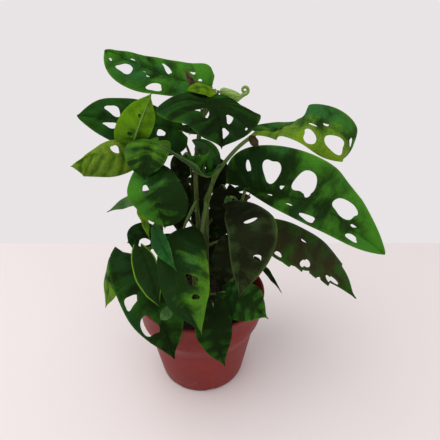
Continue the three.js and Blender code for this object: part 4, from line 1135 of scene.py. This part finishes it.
SHOOTS = {
    "middle": ([(-1, 4, 180), (-6, -6, 173), (-12, -14, 160), (-12, -20, 146)], 1.3),
    "front": ([(7, -7, 182), (5, -9, 170), (3, -10, 157), (2, -12, 140)], 1.6),
}
for name, (path, thick) in SHOOTS.items():
    tapered = thick * np.array((1.1, 1, 0.6))
    side_shoots[name] = smooth_bar("shoot", path, 30, (0, 0.3, 1), tapered, STEM, pale=0.45)
for name in CUTTINGS:
    cutting(name)
print("stalks:", {name: len(found) for name, found in stalks.items()})

# %% [markdown]
# ## Dry sheaths and a bud
#
# A new leaf leaves its sheath behind, a thin brown paper wing that curls and dries. Two of them are left
# here, and a brown bud sits at a joint. They grow on the stems, so they are added things without a solid
# of their own.


# %% Sheaths
SHEATH = 0.35  # how thick a dry sheath is, mm


def wing(name, points, wide, finish, slot):
    """A thin pointed sheet, folded around its middle line."""
    bpy.ops.mesh.primitive_grid_add(x_subdivisions=14, y_subdivisions=6, size=2, calc_uvs=False)
    sheet = bpy.context.object
    sheet.name = name
    mesh = sheet.data
    flat = np.array([v.co for v in mesh.vertices])
    s, t = (flat[:, 0] + 1) / 2, flat[:, 1]
    line, way, _ = along(points, s)
    side = np.cross(way, (0.2, -0.9, 0.4))
    side /= np.linalg.norm(side, axis=1, keepdims=True)
    up = np.cross(side, way)
    half = wide * (np.sin(np.pi * (0.12 + 0.86 * s)) ** 0.8 * np.interp(s, (0, 1), (1, 0.55)))
    rise = half * 0.8 * t * t + 0.3 * np.sin(9 * s + 3 * t)
    place = line + side * (half * t)[:, None] + up * rise[:, None]
    mesh.vertices.foreach_set("co", (place * MM).ravel())
    mesh.materials.append(finish)
    thickened(sheet, SHEATH)
    return stands_for(sheet, slot)


wing("sheath_top", [(-1, 8, 267), (-5, 6, 274), (-8, 5, 281)], 3.0, PAPER, "stem")
wing("sheath_right", [(34, 0, 170), (38, -1, 178), (43, -3, 187)], 2.2, PAPER, "stem")
knob = [(42, -3, 235), (43, -3.5, 232), (45, -4, 229), (47, -4, 226.5)]
bud = bar("brown_bud", knob, (1.6, 3.2, 3.4, 1.4), STEM, brown=0.75, pale=0.1)
stands_for(bud, "stem")
print("sheaths: 2, buds: 1")

# %% [markdown]
# ## The soil
#
# The body of soil is a circle, extruded ring by ring up the inside of the pot. Its top is made of many
# narrow rings, and their points are lifted a little by chance. Small crumbs of a few faces each are
# strewn on it. The stems stand in holes, which are cut with a Boolean modifier.


# %% Turned bodies
def turned(name, profile, sides):
    """A turned body: a circle, extruded and resized from each (radius, height) to the next."""
    radius, height = profile[0]
    bpy.ops.object.select_all(action="DESELECT")
    bpy.ops.mesh.primitive_circle_add(vertices=sides, radius=radius * MM, fill_type="NGON",
                                      calc_uvs=False)
    body = bpy.context.object
    body.name = name
    body.location.z = height * MM
    bpy.ops.object.transform_apply(location=True, rotation=True, scale=True)
    bpy.ops.object.mode_set(mode="EDIT")
    bpy.ops.mesh.select_all(action="SELECT")
    for wide, high in profile[1:]:
        bpy.ops.mesh.extrude_region_move(TRANSFORM_OT_translate={"value": (0, 0, (high - height) * MM)})
        bpy.ops.transform.resize(value=(wide / radius, wide / radius, 1),
                                 center_override=(0, 0, high * MM))
        radius, height = wide, high
    bpy.ops.mesh.select_all(action="SELECT")
    bpy.ops.mesh.normals_make_consistent(inside=False)
    bpy.ops.object.mode_set(mode="OBJECT")
    return body


def cut_away(body, tool):
    """Cuts one mesh out of another."""
    pick(body)
    cutter = body.modifiers.new("cut", "BOOLEAN")
    cutter.object = tool
    cutter.solver = "EXACT"
    bpy.ops.object.modifier_apply(modifier=cutter.name)
    bpy.data.objects.remove(tool, do_unlink=True)


print("body helpers: turned, cut_away")

# %% Soil
TOP = ((0.0, 26.0, 50.2, 56.2), (85.5, 84.75, 83.0, 82.2))  # how far from the axis, and how high
EDGE, BRINK = 56, 81.9  # the soil is rough inside this circle and above this height
HOLE_GAP, HOLE_DEPTH, HOLE_MIDDLE = 0.5, 40, 76.7  # the stems' holes
CRUMBS, CRUMB_SIZES, CRUMB_REACH = 260, (0.5, 0.7, 0.9, 1.3, 1.8), 53.5
reaches = [56.0 - 1.5 * i for i in range(37)] + [0.4]
profile = [(35.8, 2.4), (39.5, 5.6), (49.3, 55.5), (55.0, 66.5), (56.2, 81.6),
           *zip(reaches, np.interp(reaches, *TOP))]
soil = turned("soil_body", profile, 96)
spots = np.array([v.co for v in soil.data.vertices]) / MM
chance = np.random.default_rng(5)
rough = 0
for size, pace in ((0.16, 0.35), (0.12, 1.1)):
    swell = spots[:, :2] @ chance.normal(0, pace, (2, 14)) + chance.uniform(0, 6.28, 14)
    rough = rough + size * np.sin(swell).sum(1)
on_top = (spots[:, 2] > BRINK) & (np.hypot(spots[:, 0], spots[:, 1]) < EDGE)
spots[:, 2] += np.where(on_top, rough.clip(-1.3, 1.1), 0)
soil.data.vertices.foreach_set("co", (spots * MM).ravel())
for path, thick in CUTTINGS.values():
    foot = (path[0][0] * MM, path[0][1] * MM, HOLE_MIDDLE * MM)
    bpy.ops.mesh.primitive_cylinder_add(vertices=24, radius=(thick + HOLE_GAP) * MM,
                                        depth=HOLE_DEPTH * MM, location=foot)
    cut_away(soil, bpy.context.object)
soil.data.materials.append(EARTH)
smooth(soil, 40)

random.seed(11)
crumbs = []
bpy.ops.mesh.primitive_ico_sphere_add(subdivisions=1, radius=MM)
first = bpy.context.object
first.data.materials.append(EARTH)
shape = np.array([v.co for v in first.data.vertices])
for _ in range(CRUMBS):
    crumb = first.copy()
    crumb.data = first.data.copy()
    scene.collection.objects.link(crumb)
    reach, turn = CRUMB_REACH * math.sqrt(random.random()), random.uniform(0, 2 * math.pi)
    size = random.choice(CRUMB_SIZES)
    height = np.interp(reach, *TOP) + 0.25 * size
    place = np.array((reach * math.cos(turn), reach * math.sin(turn), height)) * MM
    ragged = shape * size * np.array([[random.uniform(0.6, 1.25) for _ in range(3)] for _ in shape])
    crumb.data.vertices.foreach_set("co", (ragged + place).ravel())
    crumbs.append(crumb)
bpy.data.objects.remove(first, do_unlink=True)
stands_for(joined("soil_body", [soil, *crumbs]), "soil", "soil")
print("crumbs on the soil:", len(crumbs))

# %% [markdown]
# ## The pot
#
# The pot is one thin plastic moulding. From the foot a tapered body goes up to a short slope, and above
# it stands a tall plain collar with a slightly thicker lip. Inside, the wall runs down again to the
# floor. The drain notches at the foot's edge are cut out afterwards.

# %% Pot
outside = [(36.0, 0.0), (38.6, 0.15), (40.2, 0.9), (41.2, 2.2), (41.7, 4.0), (46.6, 29.5),
           (50.8, 51.6), (51.2, 53.4), (51.8, 55.3), (52.6, 57.2), (53.6, 59.3), (54.8, 61.8),
           (55.8, 63.8), (56.6, 65.6), (57.1, 67.4), (58.3, 78.0), (59.4, 88.7), (59.9, 89.6),
           (60.0, 90.7), (59.8, 91.6), (59.3, 92.0)]
inside = [(58.3, 91.9), (57.9, 91.4), (57.8, 89.2), (57.0, 80.0), (55.9, 67.0), (54.9, 65.0),
          (50.6, 56.6), (50.0, 55.4), (45.0, 30.0), (40.2, 5.4), (39.2, 3.2), (37.0, 2.1),
          (34.0, 2.0), (20.0, 2.0), (8.0, 2.0)]
pot = turned("nursery_pot", outside + inside, 128)
NOTCHES, NOTCH_REACH, NOTCH_SHIFT = 8, 40, 0.28  # how many, how far out, and how far on around
NOTCH_SIZE, NOTCH_ROUND = (9, 8, 6), 1.2
for i in range(NOTCHES):
    turn = (i + NOTCH_SHIFT) / NOTCHES * 2 * math.pi - math.pi / 2
    foot = (NOTCH_REACH * MM * math.cos(turn), NOTCH_REACH * MM * math.sin(turn), 0)
    bpy.ops.mesh.primitive_cube_add(size=1, location=foot, rotation=(0, 0, turn))
    notch = bpy.context.object
    bpy.ops.transform.resize(value=[size * MM for size in NOTCH_SIZE], orient_type="LOCAL")
    bpy.ops.object.transform_apply(location=True, rotation=True, scale=True)
    soften = notch.modifiers.new("round", "BEVEL")
    soften.width = NOTCH_ROUND * MM
    soften.segments = 3
    bpy.ops.object.modifier_apply(modifier=soften.name)
    cut_away(pot, notch)
pot.data.materials.append(PLASTIC)
smooth(pot, 32)
stands_for(pot, "pot_plastic", "pot")
print("pot faces:", len(pot.data.polygons))
